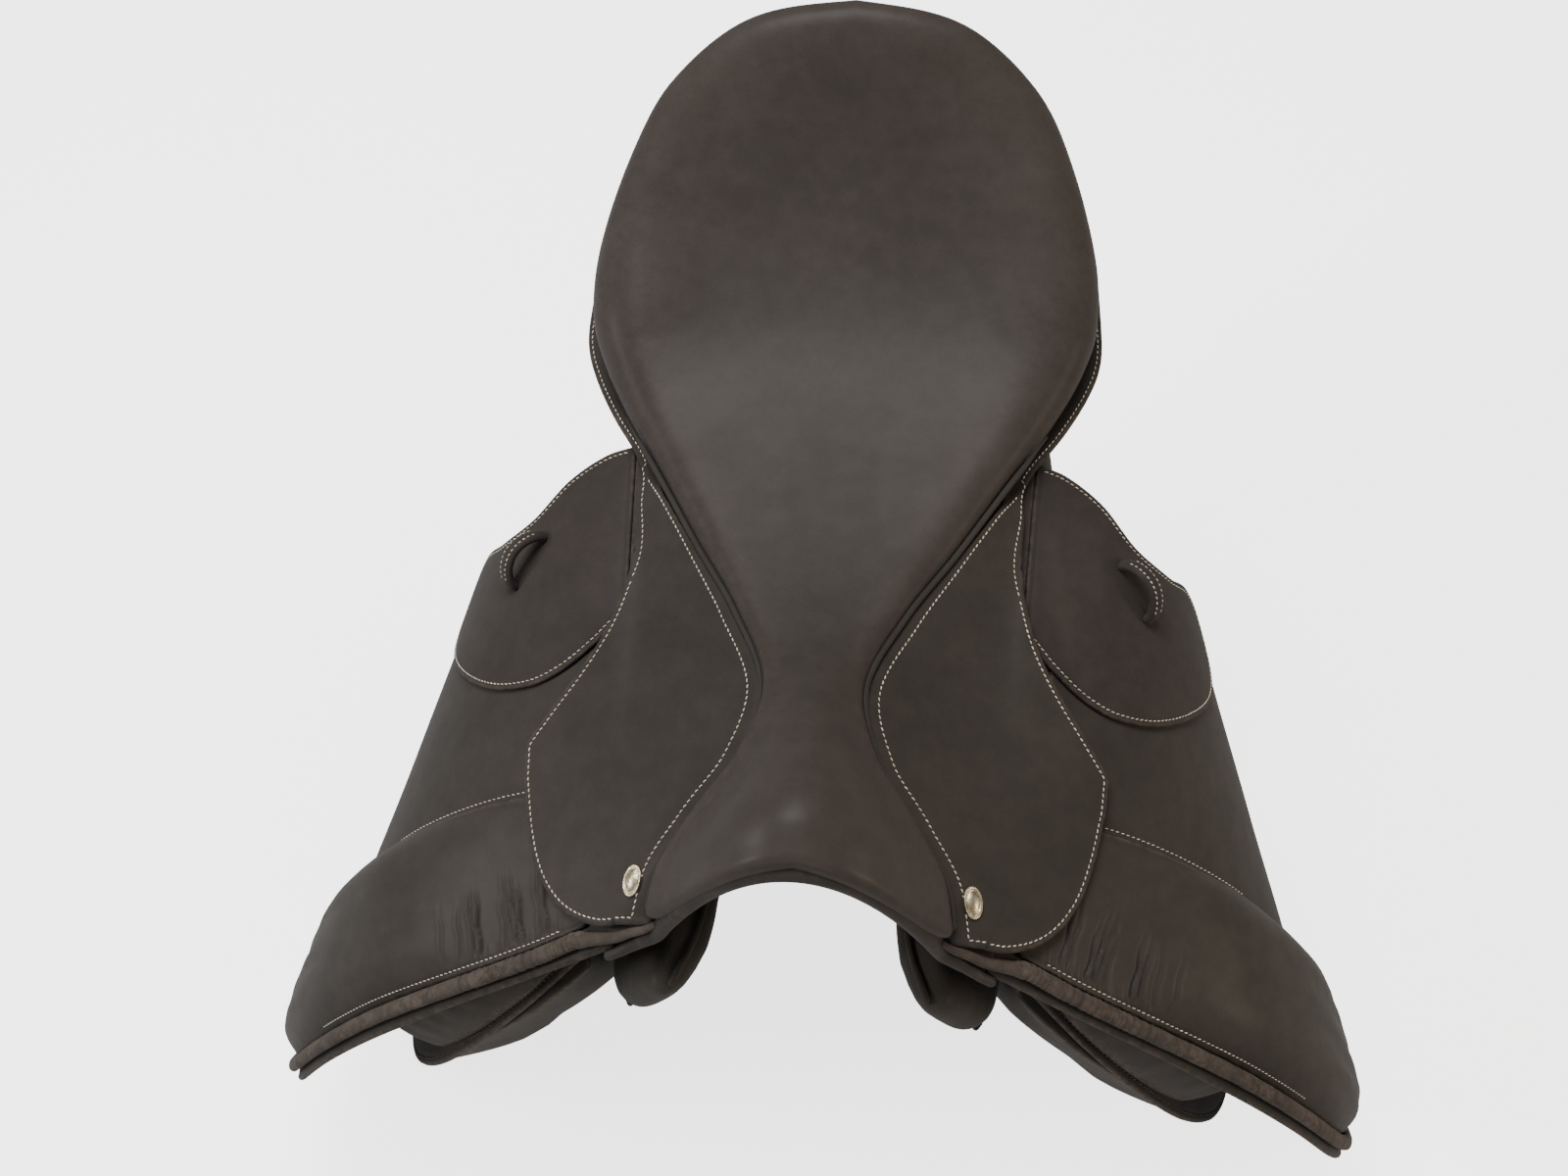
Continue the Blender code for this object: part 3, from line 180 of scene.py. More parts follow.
def beech_material():
    made, shader = shader_material("beech_stain_and_shade", 0.48, coat=0.10)
    tree = made.node_tree
    along = object_place(tree, (1.0, 0.12, 1.0))
    rings = noise(tree, along, 120.0, 4.0)
    pores = noise(tree, object_place(tree, (1.0, 0.06, 1.0)), 900.0, 2.0)
    colour = mix_colour(tree, spread_over(tree, rings, 0.35, 0.65), BEECH_DARK, BEECH_LIGHT)
    colour = mix_colour(tree, spread_over(tree, pores, 0.60, 0.72), colour, BEECH_PORE)
    tree.links.new(colour, shader.inputs["Base Color"])
    bump(tree, pores, shader, 0.25, 0.0003)
    return made


def steel_material():
    made, shader = shader_material("brushed_stainless", 0.30, metallic=1.0)
    tree = made.node_tree
    brush = noise(tree, object_place(tree, (40.0, 1.0, 40.0)), 60.0, 3.0)
    marks = noise(tree, object_place(tree), 55.0, 4.0)
    tree.links.new(mix_colour(tree, marks, STEEL_DARK, STEEL_LIGHT), shader.inputs["Base Color"])
    rough = math_node(tree, "MULTIPLY_ADD", brush, 0.22, 0.20)
    tree.links.new(rough, shader.inputs["Roughness"])
    bump(tree, brush, shader, 0.15, 0.0002)
    return made


BEECH = beech_material()
STEEL = steel_material()
paint("tree", BEECH)
for piece in ("head_plate", "gullet_plate", "spring_left", "spring_right"):
    paint(piece, STEEL)


# Leather surface
# Vegetable-tanned calf and cowhide, dyed chocolate and greased to a dull finish. One group gives the
# colour that varies in clouds and rubs away, painted shade in creases and seam grooves, the pebble grain and
# the uneven finish to every leather below.
CREASE_SHADE = (0.006, 0.005, 0.004, 1.0)
LEATHER_DULL = 0.5
PEBBLE_SCALE = 620.0
PEBBLE_WARP = 0.0012


def build_leather_group():
    group, start, end = new_group(
        "leather_surface",
        (("Deep", (0.02, 0.016, 0.013, 1.0)), ("Light", (0.05, 0.04, 0.033, 1.0)),
         ("Rubbed", (0.12, 0.085, 0.06, 1.0)), ("Dull", 0.4), ("Grain", 1.0), ("Rub", 0.5)),
        (("Color", "NodeSocketColor"), ("Roughness", "NodeSocketFloat"), ("Height", "NodeSocketFloat")))
    place = object_place(group)
    cloud = spread_over(group, noise(group, place, 7.0, 5.0, 0.6), 0.34, 0.68)
    fleck = spread_over(group, noise(group, place, 85.0, 4.0, 0.6), 0.38, 0.66)
    mixed = math_node(group, "MULTIPLY_ADD", cloud, 0.65, math_node(group, "MULTIPLY", fleck, 0.35))
    colour = mix_colour(group, mixed, start.outputs["Deep"], start.outputs["Light"])

    edge = group.nodes.new("ShaderNodeAttribute")
    edge.attribute_name = "edge"
    scuff = spread_over(group, noise(group, place, 220.0, 5.0, 0.7), 0.42, 0.62)
    rubbed = math_node(group, "MULTIPLY", edge.outputs["Fac"], scuff)
    rubbed = math_node(group, "MULTIPLY", rubbed, start.outputs["Rub"], clamp=True)
    colour = mix_colour(group, rubbed, colour, start.outputs["Rubbed"])
    # Painted shade: the crease mark darkens creases and seam grooves toward a near-black colour.
    crease = group.nodes.new("ShaderNodeAttribute")
    crease.attribute_name = "crease"
    creased = math_node(group, "MULTIPLY", crease.outputs["Fac"], 0.75, clamp=True)
    colour = mix_colour(group, creased, colour, CREASE_SHADE)
    group.links.new(colour, end.inputs["Color"])

    cells = group.nodes.new("ShaderNodeTexVoronoi")
    cells.feature = "DISTANCE_TO_EDGE"
    cells.inputs["Scale"].default_value = PEBBLE_SCALE
    warp = group.nodes.new("ShaderNodeVectorMath")
    warp.operation = "MULTIPLY_ADD"
    warp.inputs[1].default_value = (PEBBLE_WARP, PEBBLE_WARP, PEBBLE_WARP)
    wave = group.nodes.new("ShaderNodeTexNoise")
    wave.inputs["Scale"].default_value = 300.0
    group.links.new(place, wave.inputs["Vector"])
    group.links.new(wave.outputs["Color"], warp.inputs[0])
    group.links.new(place, warp.inputs[2])
    group.links.new(warp.outputs["Vector"], cells.inputs["Vector"])
    pebble = spread_over(group, cells.outputs["Distance"], 0.0, 0.22)
    fine = noise(group, place, 1500.0, 3.0, 0.6)
    height = math_node(group, "MULTIPLY_ADD", pebble, start.outputs["Grain"],
                       math_node(group, "MULTIPLY", fine, 0.35))
    group.links.new(height, end.inputs["Height"])

    patches = spread_over(group, noise(group, place, 22.0, 4.0, 0.65), 0.30, 0.72)
    rough = math_node(group, "ADD", math_node(group, "MULTIPLY_ADD", patches, 0.13, LEATHER_DULL),
                      math_node(group, "MULTIPLY", pebble, -0.05))
    rough = math_node(group, "MULTIPLY_ADD", rubbed, 0.15, rough)
    rough = math_node(group, "ADD", rough, start.outputs["Dull"])
    group.links.new(rough, end.inputs["Roughness"])
    return group


LEATHER_GROUP = build_leather_group()


def leather(name, deep, light, rubbed, dull=0.36, grain=0.6, rub=0.6, relief=0.00010, coat=0.04):
    """One leather: its dye colours, how dull it is, how worn its edges and how deep its grain."""
    made, shader = shader_material(name, dull, specular=0.34, coat=coat)
    tree = made.node_tree
    surface = tree.nodes.new("ShaderNodeGroup")
    surface.node_tree = LEATHER_GROUP
    for socket, dye in (("Deep", deep), ("Light", light), ("Rubbed", rubbed)):
        surface.inputs[socket].default_value = (*dye, 1.0)
    for socket, value in (("Dull", dull), ("Grain", grain), ("Rub", rub)):
        surface.inputs[socket].default_value = value
    tree.links.new(surface.outputs["Color"], shader.inputs["Base Color"])
    tree.links.new(surface.outputs["Roughness"], shader.inputs["Roughness"])
    bump(tree, surface.outputs["Height"], shader, 0.55, relief)
    return made


POINT_LEATHER = leather("tree_point_leather", (0.022, 0.017, 0.013), (0.048, 0.037, 0.029),
                        (0.11, 0.08, 0.06))
for side_name, side in SIDES:
    paint("tree_point_" + side_name, POINT_LEATHER)


# Webbing
# Woven linen web strained over the tree's opening under the seat, and the aprons of the same web
# that carry the girth straps. The weave is two crossed waves of thread.
WEB_LIGHT = (0.70, 0.66, 0.55, 1)
WEB_DUSTY = (0.50, 0.45, 0.35, 1)
WEB_SHADE = (0.33, 0.29, 0.22, 1)
WARP_WAVES = 5200.0
WEFT_WAVES = 3600.0
WEB_STRIP = 0.052
WEB_GROOVE = 0.0008
WEB_GROOVE_SHARE = 0.06


def webbing_material():
    made, shader = shader_material("woven_web", 0.85, specular=0.25, sheen=0.3)
    tree = made.node_tree
    place = object_place(tree)
    parted = tree.nodes.new("ShaderNodeSeparateXYZ")
    tree.links.new(place, parted.inputs[0])
    warp = math_node(tree, "SINE", math_node(tree, "MULTIPLY", parted.outputs[0], WARP_WAVES))
    weft = math_node(tree, "SINE", math_node(tree, "MULTIPLY", parted.outputs[1], WEFT_WAVES))
    weave = math_node(tree, "MULTIPLY", warp, weft)
    height = spread_over(tree, weave, -1.0, 1.0)
    dust = spread_over(tree, noise(tree, place, 40.0, 5.0), 0.35, 0.7)
    colour = mix_colour(tree, dust, WEB_DUSTY, WEB_LIGHT)
    colour = mix_colour(tree, math_node(tree, "MULTIPLY", height, 0.35), colour, WEB_SHADE)
    tree.links.new(colour, shader.inputs["Base Color"])
    bump(tree, height, shader, 0.6, 0.0004)
    return made


def add_object(name, data):
    """A new object in the scene's own collection."""
    made = bpy.data.objects.new(name, data)
    bpy.context.scene.collection.objects.link(made)
    return made


def copy_of(node_name, name, made):
    """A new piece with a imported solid's mesh, to be softened and shown in its place."""
    piece = add_object(name, nodes[node_name].data.copy())
    piece.data.materials.clear()
    piece.data.materials.append(made)
    return piece


def apply_modifiers(piece):
    """Bakes a piece's modifiers into its mesh."""
    graph = bpy.context.evaluated_depsgraph_get()
    graph.update()
    mesh = bpy.data.meshes.new_from_object(piece.evaluated_get(graph))
    old = piece.data
    piece.modifiers.clear()
    piece.data = mesh
    bpy.data.meshes.remove(old)
    return piece


def weld(piece, distance=0.00002):
    """Joins the doubled corners of a copied solid."""
    made = bmesh.new()
    made.from_mesh(piece.data)
    bmesh.ops.remove_doubles(made, verts=made.verts, dist=distance)
    made.to_mesh(piece.data)
    made.free()
    return piece


WEB = webbing_material()
strained = weld(copy_of("seat_webbing", "seat_webbing_strained", WEB))
finer = strained.modifiers.new("finer", "SUBSURF")
finer.levels = 2
finer.subdivision_type = "SIMPLE"
apply_modifiers(strained)
for vertex in strained.data.vertices:
    strip = math.fmod(abs(vertex.co.y + 1.0) / WEB_STRIP, 1.0)
    vertex.co.z -= WEB_GROOVE * math.exp(-((strip - 0.5) / WEB_GROOVE_SHARE)**2)
strained.data.shade_smooth()
strained.data.set_sharp_from_angle(angle=math.radians(50))
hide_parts("seat_webbing")
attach(strained, "saddle")


# Seat foam
# The carved foam pad between the webbing and the seat leather, drawn in under the rolled edge.
# It is hidden in use, and here it is a softened skin over the same form with open cells, their hollows
# darkened as painted shade.
FOAM_YELLOW = (0.74, 0.68, 0.50, 1)
FOAM_AGED = (0.60, 0.50, 0.30, 1)
FOAM_PORE_SHADE = (0.36, 0.30, 0.19, 1)
FOAM_VOXEL = 0.004
FOAM_SHRINK = 0.0004


def foam_material():
    made, shader = shader_material("open_cell_foam", 0.95, specular=0.2)
    tree = made.node_tree
    place = object_place(tree)
    cells = tree.nodes.new("ShaderNodeTexVoronoi")
    cells.inputs["Scale"].default_value = 700.0
    tree.links.new(place, cells.inputs["Vector"])
    # Painted shade: the open cells darken toward the pore colour in their sunken hollows.
    pores = spread_over(tree, cells.outputs["Distance"], 0.05, 0.6)
    aged = spread_over(tree, noise(tree, place, 14.0, 4.0), 0.3, 0.7)
    colour = mix_colour(tree, aged, FOAM_YELLOW, FOAM_AGED)
    tree.links.new(mix_colour(tree, pores, FOAM_PORE_SHADE, colour), shader.inputs["Base Color"])
    bump(tree, pores, shader, 0.8, 0.0006)
    return made


def round_over(piece, voxel, smooth, shrink):
    """Draws a closed form in, remeshes it into even small faces and softens its corners."""
    thin = piece.modifiers.new("thin", "DISPLACE")
    thin.strength = -shrink
    thin.mid_level = 0.0
    remesh = piece.modifiers.new("remesh", "REMESH")
    remesh.mode = "VOXEL"
    remesh.voxel_size = voxel
    soften = piece.modifiers.new("soften", "SMOOTH")
    soften.iterations = smooth
    soften.factor = 0.5
    apply_modifiers(piece)
    piece.data.shade_smooth()


foam = weld(copy_of("seat_foam", "seat_foam_pad", foam_material()))
round_over(foam, FOAM_VOXEL, 3, FOAM_SHRINK)
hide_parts("seat_foam")
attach(foam, "saddle")


# Seat leather
# One piece of soft calf drawn wet over the foam and round a rolled edge, deepest behind the
# twist and rising to the cantle. Its sizes are the seat's edge and its centre line.
SEAT_EDGE = np.array((
    (0.071, -0.232, 0.142, 0.006), (0.066, -0.212, 0.152, 0.006), (0.050, -0.188, 0.164, 0.006),
    (0.031, -0.160, 0.174, 0.005), (0.0225, -0.122, 0.178, 0.004), (0.040, -0.080, 0.174, 0.005),
    (0.064, -0.040, 0.168, 0.008), (0.088, 0.000, 0.167, 0.011), (0.113, 0.040, 0.168, 0.014),
    (0.130, 0.072, 0.173, 0.018), (0.138, 0.098, 0.182, 0.021), (0.136, 0.134, 0.197, 0.020),
    (0.120, 0.178, 0.223, 0.017), (0.098, 0.209, 0.245, 0.014), (0.058, 0.231, 0.263, 0.012),
    (0.000, 0.238, 0.269, 0.012)))
SEAT_MIDDLE = np.array((
    (-0.223, 0.227), (-0.208, 0.230), (-0.185, 0.224), (-0.155, 0.207), (-0.120, 0.190),
    (-0.080, 0.181), (-0.030, 0.177), (0.030, 0.177), (0.080, 0.184), (0.120, 0.198),
    (0.160, 0.221), (0.195, 0.251), (0.215, 0.273), (0.226, 0.281), (0.238, 0.281)))
SEAT_THICKNESS = 0.0025
SEAT_ACROSS = 26
SEAT_ROLL = 132.0
SPINE_FRONT = -0.200
SPINE_REAR = 0.080
SPINE_EASE = 0.050
LIP_RADIUS = 0.0036
LIP_HANG = ((1.57, 0.0020), (1.57, 0.0010), (1.57, 0.0), (1.05, 0.0), (0.52, 0.0))


def smooth_step(value):
    t = np.clip(value, 0.0, 1.0)
    return t * t * (3.0 - 2.0 * t)


def spline(x, xs, values):
    """Smooth curve through stations, read at many places; slopes are the mean of the neighbours."""
    x = np.clip(np.asarray(x, float), xs[0], xs[-1])
    xs = np.asarray(xs, float)
    values = np.asarray(values, float)
    more = (slice(None),) + (None,) * (values.ndim - 1)
    slopes = np.zeros_like(values)
    slopes[1:-1] = (values[2:] - values[:-2]) / (xs[2:] - xs[:-2])[more]
    slopes[0] = (values[1] - values[0]) / (xs[1] - xs[0])
    slopes[-1] = (values[-1] - values[-2]) / (xs[-1] - xs[-2])
    i = np.clip(np.searchsorted(xs, x) - 1, 0, len(xs) - 2)
    h = xs[i + 1] - xs[i]
    t = (x - xs[i]) / h
    if values.ndim > 1:
        t = t.reshape(t.shape + (1,) * (values.ndim - 1))
        h = h.reshape(h.shape + (1,) * (values.ndim - 1))
    start = (2 * t**3 - 3 * t**2 + 1) * values[i] + (t**3 - 2 * t**2 + t) * h * slopes[i]
    end = (3 * t**2 - 2 * t**3) * values[i + 1] + (t**3 - t**2) * h * slopes[i + 1]
    return start + end


def run_lengths(points):
    """How far along a polyline each of its points lies."""
    return np.concatenate([[0.0], np.cumsum(np.linalg.norm(np.diff(points, axis=0), axis=1))])


def through(points, spacing):
    """A smooth curve through points, sampled evenly at about the spacing."""
    points = np.asarray(points, float)
    lengths = run_lengths(points)
    fine = spline(np.linspace(0.0, lengths[-1], 60 * len(points)), lengths, points)
    return even(fine, spacing)


def even(points, spacing):
    """A polyline sampled again at even steps."""
    points = np.asarray(points, float)
    lengths = run_lengths(points)
    count = max(int(round(lengths[-1] / spacing)), 1)
    at = np.linspace(0.0, lengths[-1], count + 1)
    return np.stack([np.interp(at, lengths, points[:, k]) for k in range(points.shape[1])], axis=1)


def mesh_piece(name, vertices, faces, made, side=1.0, marks=None, sharp=50.0):
    """A smooth-shaded piece, given for the left; side -1 mirrors it to the rider's right."""
    vertices = np.asarray(vertices, float) * (side, 1.0, 1.0)
    if side < 0:
        faces = [tuple(reversed(face)) for face in faces]
    mesh = bpy.data.meshes.new(name)
    mesh.from_pydata(vertices.tolist(), [], [tuple(map(int, face)) for face in faces])
    for mark, values in (marks or {}).items():
        mesh.attributes.new(mark, "FLOAT", "POINT").data.foreach_set("value", np.asarray(values, np.float32))
    mesh.shade_smooth()
    mesh.set_sharp_from_angle(angle=math.radians(sharp))
    mesh.materials.append(made)
    return add_object(name, mesh)


def face_out(piece):
    """Turns the faces of a closed piece outward."""
    made = bmesh.new()
    made.from_mesh(piece.data)
    bmesh.ops.recalc_face_normals(made, faces=made.faces)
    made.to_mesh(piece.data)
    made.free()
    return piece


def grid_faces(rows, columns, closed=False):
    """Faces of a grid of points, row by row; closed joins its last column to the first."""
    faces = []
    for i in range(rows - 1):
        for j in range(columns if closed else columns - 1):
            k = (j + 1) % columns
            faces.append((i * columns + j, i * columns + k, (i + 1) * columns + k, (i + 1) * columns + j))
    return faces


def seat_half_width(y):
    return spline(y, SEAT_EDGE[:, 1], SEAT_EDGE[:, 0])


def seat_top(x, y):
    """Height of the seat before its edge rolls over."""
    middle = spline(y, SEAT_MIDDLE[:, 0], SEAT_MIDDLE[:, 1])
    crest = spline(y, SEAT_EDGE[:, 1], SEAT_EDGE[:, 2] + SEAT_EDGE[:, 3])
    half = np.maximum(seat_half_width(y), 0.020)
    return middle + (crest - middle) * np.minimum(np.abs(x) / half, 1.0) ** 2


def build_seat_leather():
    """Half a seat of ribs that fan out from the spine and roll over the edge, then mirrored."""
    edge = through(SEAT_EDGE, 0.005)
    across = SEAT_ACROSS
    roll = np.radians(np.linspace(0.0, SEAT_ROLL, 13)[1:])
    vertices = []
    rub = []
    for i, (x, y, z, radius) in enumerate(edge):
        spine = y
        if y >= SPINE_REAR:
            spine = SPINE_REAR + SPINE_EASE * (1.0 - math.exp((SPINE_REAR - y) / SPINE_EASE))
        if y < SPINE_FRONT:
            spine = SPINE_FRONT + (y - SPINE_FRONT) * 0.72
        along = edge[min(i + 1, len(edge) - 1)][:2] - edge[max(i - 1, 0)][:2]
        along = along / np.linalg.norm(along)
        out = np.array((along[1], -along[0]))
        out = out + (np.array((1.0, 0.0)) - out) * float(smooth_step((-0.150 - y) / 0.020))
        if i == len(edge) - 1:
            out = np.array((0.0, 1.0))
        out = out / np.linalg.norm(out)
        rim = np.array((x, y)) - out * radius
        flat = np.linspace(0.0, 1.0, across + 1)[:, None] * (rim - (0.0, spine)) + (0.0, spine)
        flat[:, 0] = np.maximum(flat[:, 0], 0.0)
        for fx, fy in flat:
            vertices.append((fx, fy, float(seat_top(fx, fy))))
            rub.append(0.30 * float(smooth_step((fx / max(rim[0], 0.02) - 0.62) / 0.38)))
        height = float(seat_top(max(rim[0], 0.0), rim[1]))
        for a in roll:
            px, py = rim + out * radius * math.sin(a)
            vertices.append((max(px, 0.0), py, height - radius * (1.0 - math.cos(a))))
            rub.append(0.30 + 0.15 * math.sin(a) ** 2)
    columns = across + 1 + len(roll)
    front = np.array(vertices[:columns])
    share = np.concatenate([np.linspace(0.0, 1.0, across + 1), np.ones(len(roll))])
    hold = np.concatenate([np.ones(across + 1), 1.0 - np.degrees(roll) / SEAT_ROLL])
    lip = []
    for turn, hang in LIP_HANG:
        down = LIP_RADIUS * (1.0 - math.cos(turn)) + hang * (1.0 + 1.3 * share**3)
        back = hold * LIP_RADIUS * math.sin(turn)
        lip.append(front - np.stack([np.zeros(columns), back, hold * down], axis=1))
    vertices = np.concatenate([*lip, vertices]).reshape(-1, columns, 3)
    ease = smooth_step((share - 0.60) / 0.25) * smooth_step(1.6 * hold)
    for turn in range(16):
        mean = 0.5 * (vertices[:, :-2] + vertices[:, 2:])
        vertices[:, 1:-1] += 0.6 * ease[1:-1, None] * (mean - vertices[:, 1:-1])
    vertices = vertices.reshape(-1, 3)
    rub = np.concatenate([np.full(len(lip) * columns, 0.25), rub])
    faces = grid_faces(len(edge) + len(lip), columns)
    faces = [face[::-1] for face in faces]
    piece = mesh_piece("seat_leather_drawn", vertices, faces, SEAT_CALF, marks={"edge": rub})
    mirror = piece.modifiers.new("other half", "MIRROR")
    mirror.merge_threshold = 0.0001
    skin = piece.modifiers.new("thickness", "SOLIDIFY")
    skin.thickness = SEAT_THICKNESS
    skin.offset = -1.0
    face_out(apply_modifiers(piece))
    piece.data.shade_smooth()
    return piece


SEAT_CALF = leather("seat_calf", (0.0185, 0.0142, 0.0112), (0.0320, 0.0248, 0.0200), (0.060, 0.036, 0.029),
                    dull=0.36, grain=0.35, rub=0.5, relief=0.00007, coat=0.10)
seat = build_seat_leather()
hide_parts("seat_leather")
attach(seat, "saddle")


# Seat welts and pommel facing
# Thin pipings of calf drawn over cord: one down each side of the seat where it meets the skirts,
# and a thicker roll round the front arch that closes the pommel under the seat leather.
WELT_RADIUS = 0.0017
WELT_OUT = 0.0034
WELT_RUN = (-0.2285, 0.034)
CAP_STEPS = ((0.50, 0.87), (0.87, 0.50), (0.98, 0.17))
FACING_RADIUS = 0.0045
FACING_DROP = 0.0102
FACING_FOOT = ((0.0808, -0.2425, 0.1278), (0.0878, -0.2458, 0.1242), (0.0935, -0.2474, 0.1205))


def beside_seat(y, out):
    """Points beside the seat's edge, out from it by a distance across the edge."""
    y = np.asarray(y, float)
    slope = (seat_half_width(y + 0.004) - seat_half_width(y - 0.004)) / 0.008
    x = seat_half_width(y) + out * np.hypot(1.0, slope)
    return np.stack([x, y, spline(y, SEAT_EDGE[:, 1], SEAT_EDGE[:, 2])], axis=-1)


def unit(vectors):
    return vectors / np.maximum(np.linalg.norm(vectors, axis=-1, keepdims=True), 1e-12)


def tube_faces(rings, around):
    """Faces of a closed tube of rings, with a face over each end."""
    last = (rings - 1) * around
    ends = [tuple(range(around)), tuple(last + k for k in reversed(range(around)))]
    return grid_faces(rings, around, closed=True) + ends


def rope(name, path, radius, made, side=1.0, around=14, up=(0.0, 0.0, 1.0), flat=1.0, marks=None):
    """A round or oval roll along a path with rounded ends; flat shortens it along up."""
    path = np.asarray(path, float)
    radius = np.broadcast_to(np.asarray(radius, float), len(path))
    tangent = unit(np.gradient(path, axis=0))
    across = unit(np.cross(tangent, np.broadcast_to(up, path.shape)))
    over = np.cross(across, tangent)
    turn = np.linspace(0.0, 2.0 * math.pi, around, endpoint=False)

    def ring(middle, i, width=1.0):
        out = across[i] * np.cos(turn)[:, None] + over[i] * flat * np.sin(turn)[:, None]
        return middle + out * radius[i] * width

    def cap(end, sign):
        return [ring(path[end] + sign * tangent[end] * radius[end] * flat * lean, end, width)
                for lean, width in CAP_STEPS]

    rows = cap(0, -1.0)[::-1] + [ring(path[i], i) for i in range(len(path))] + cap(-1, 1.0)
    more = len(CAP_STEPS)
    marks = {key: np.repeat(np.concatenate([[v[0]] * more, v, [v[-1]] * more]), around)
             for key, v in (marks or {}).items()}
    faces = tube_faces(len(rows), around)
    return face_out(mesh_piece(name, np.concatenate(rows), faces, made, side, marks))


TRIM_CALF = leather("trim_calf", (0.0150, 0.0122, 0.0098), (0.0280, 0.0226, 0.0180), (0.085, 0.060, 0.047),
                    dull=0.36, grain=0.4, rub=0.5)
welt_ys = np.linspace(*WELT_RUN, 130)
welt_path = beside_seat(welt_ys, WELT_OUT) + (0.0, 0.0, 0.0006)
welt_radius = WELT_RADIUS * (1.0 - 0.75 * smooth_step((welt_ys - 0.008) / 0.026))
for side_name, side in SIDES:
    welt = rope("seat_welt_piping_" + side_name, welt_path, welt_radius, TRIM_CALF, side)
    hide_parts("seat_welt_" + side_name)
    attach(welt, "saddle")


def facing_line(f):
    """The roll's middle round the front arch, f running from -1 at the right to 1 at the left."""
    x = (SEAT_EDGE[0, 0] + 0.003) * f
    height = seat_top(x, -0.228) - FACING_DROP - 0.007 * np.abs(f)**3
    return np.stack([x, SEAT_MIDDLE[0, 0] - 0.0062 - 0.011 * f**2, height], axis=-1)


facing_foot = np.array(FACING_FOOT)
facing_arch = facing_line(np.linspace(-1.0, 1.0, 31))
facing_path = np.concatenate([facing_foot[::-1] * (-1.0, 1.0, 1.0), facing_arch, facing_foot])
facing_path = through(facing_path, 0.0025)
facing_radius = FACING_RADIUS * (1.0 - 0.42 * smooth_step((np.abs(facing_path[:, 0]) - 0.070) / 0.022))
facing = rope("pommel_roll", facing_path, facing_radius, TRIM_CALF, around=20,
              marks={"edge": 0.25 + 0.2 * np.sin(facing_path[:, 0] * 310.0)})
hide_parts("pommel_facing")
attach(facing, "saddle")


# Sweat flaps
# Plain bridle leather under each flap, cut to the same sweep and sewn to the panel behind it. It
# carries the knee block and lies between the girth straps and the horse.
SWEAT_LEATHER = 0.0040
SWEAT_SEAM = 0.0042
SWEAT_SECTIONS = (
    (-0.310, ((0.078, 0.108), (0.126, 0.058), (0.212, -0.005), (0.262, -0.160))),
    (-0.250, ((0.081, 0.113), (0.130, 0.072), (0.218, 0.008), (0.264, -0.155))),
    (-0.180, ((0.085, 0.119), (0.142, 0.098), (0.230, 0.028), (0.256, -0.155))),
    (-0.100, ((0.089, 0.125), (0.152, 0.115), (0.228, 0.045), (0.240, -0.145))),
    (-0.020, ((0.094, 0.132), (0.158, 0.122), (0.216, 0.068), (0.218, -0.130))),
    (0.060, ((0.098, 0.138), (0.155, 0.112), (0.203, 0.055), (0.203, -0.090))))
SWEAT_FRONT = ((0.006, -0.224), (0.045, -0.243), (0.095, -0.262), (0.150, -0.274), (0.200, -0.277),
               (0.248, -0.268), (0.280, -0.249), (0.300, -0.226), (0.312, -0.196), (0.318, -0.160))
SWEAT_REAR = ((0.006, 0.006), (0.070, 0.000), (0.135, -0.012), (0.210, -0.026), (0.262, -0.036),
              (0.290, -0.052), (0.306, -0.076), (0.314, -0.100), (0.318, -0.125))
EDGE_RINGS = (0.0004, 0.0011, 0.0020, 0.0031, 0.0042, 0.0056, 0.0078)
SECTION_STEPS = 96


class Flank:
    """A lofted side of leather, read at many places at once: y along it, s down it from the fold."""

    def __init__(self, sections):
        self.ys = [row[0] for row in sections]
        self.points = [row[1] for row in sections]

    def on(self, y, s):
        """Places on the surface; past a section's end it goes on straight."""
        y, s = np.broadcast_arrays(np.asarray(y, float), np.asarray(s, float))
        flat_y, flat_s = y.ravel(), s.ravel()
        found = [self.chunk(flat_y[i:i + 6000], flat_s[i:i + 6000]) for i in range(0, y.size, 6000)]
        return np.concatenate(found).reshape(y.shape + (3,))

    def chunk(self, y, s):
        control = spline(y, self.ys, self.points)
        t = np.linspace(0.0, 1.0, SECTION_STEPS + 1)
        curve = np.einsum("nkc,kt->ntc", control, self.basis(t))
        steps = np.linalg.norm(np.diff(curve, axis=1), axis=2)
        lengths = np.concatenate([np.zeros((len(y), 1)), np.cumsum(steps, axis=1)], axis=1)
        i = np.clip((lengths <= s[:, None]).sum(axis=1) - 1, 0, SECTION_STEPS - 1)
        row = np.arange(len(y))
        f = (s - lengths[row, i]) / steps[row, i]
        straight = curve[row, i] + (curve[row, i + 1] - curve[row, i]) * f[:, None]
        exact = np.einsum("nkc,kn->nc", control, self.basis((i + f) / SECTION_STEPS))
        xz = np.where(((f >= 0.0) & (f <= 1.0))[:, None], exact, straight)
        return np.stack([xz[:, 0], y, xz[:, 1]], axis=1)

    @staticmethod
    def basis(t):
        return np.stack([(1 - t)**3, 3 * (1 - t)**2 * t, 3 * (1 - t) * t**2, t**3])

    def off(self, y, s, height):
        """Places a height outward from the surface."""
        return off_surface(self.on, y, s, height)


def off_surface(point, y, s, height, step=0.003):
    """Places a height outward from a surface that is given by its function."""
    along = point(y + step, s) - point(y - step, s)
    down = point(y, s + step) - point(y, s - step)
    return point(y, s) + np.asarray(height)[..., None] * unit(np.cross(down, along))


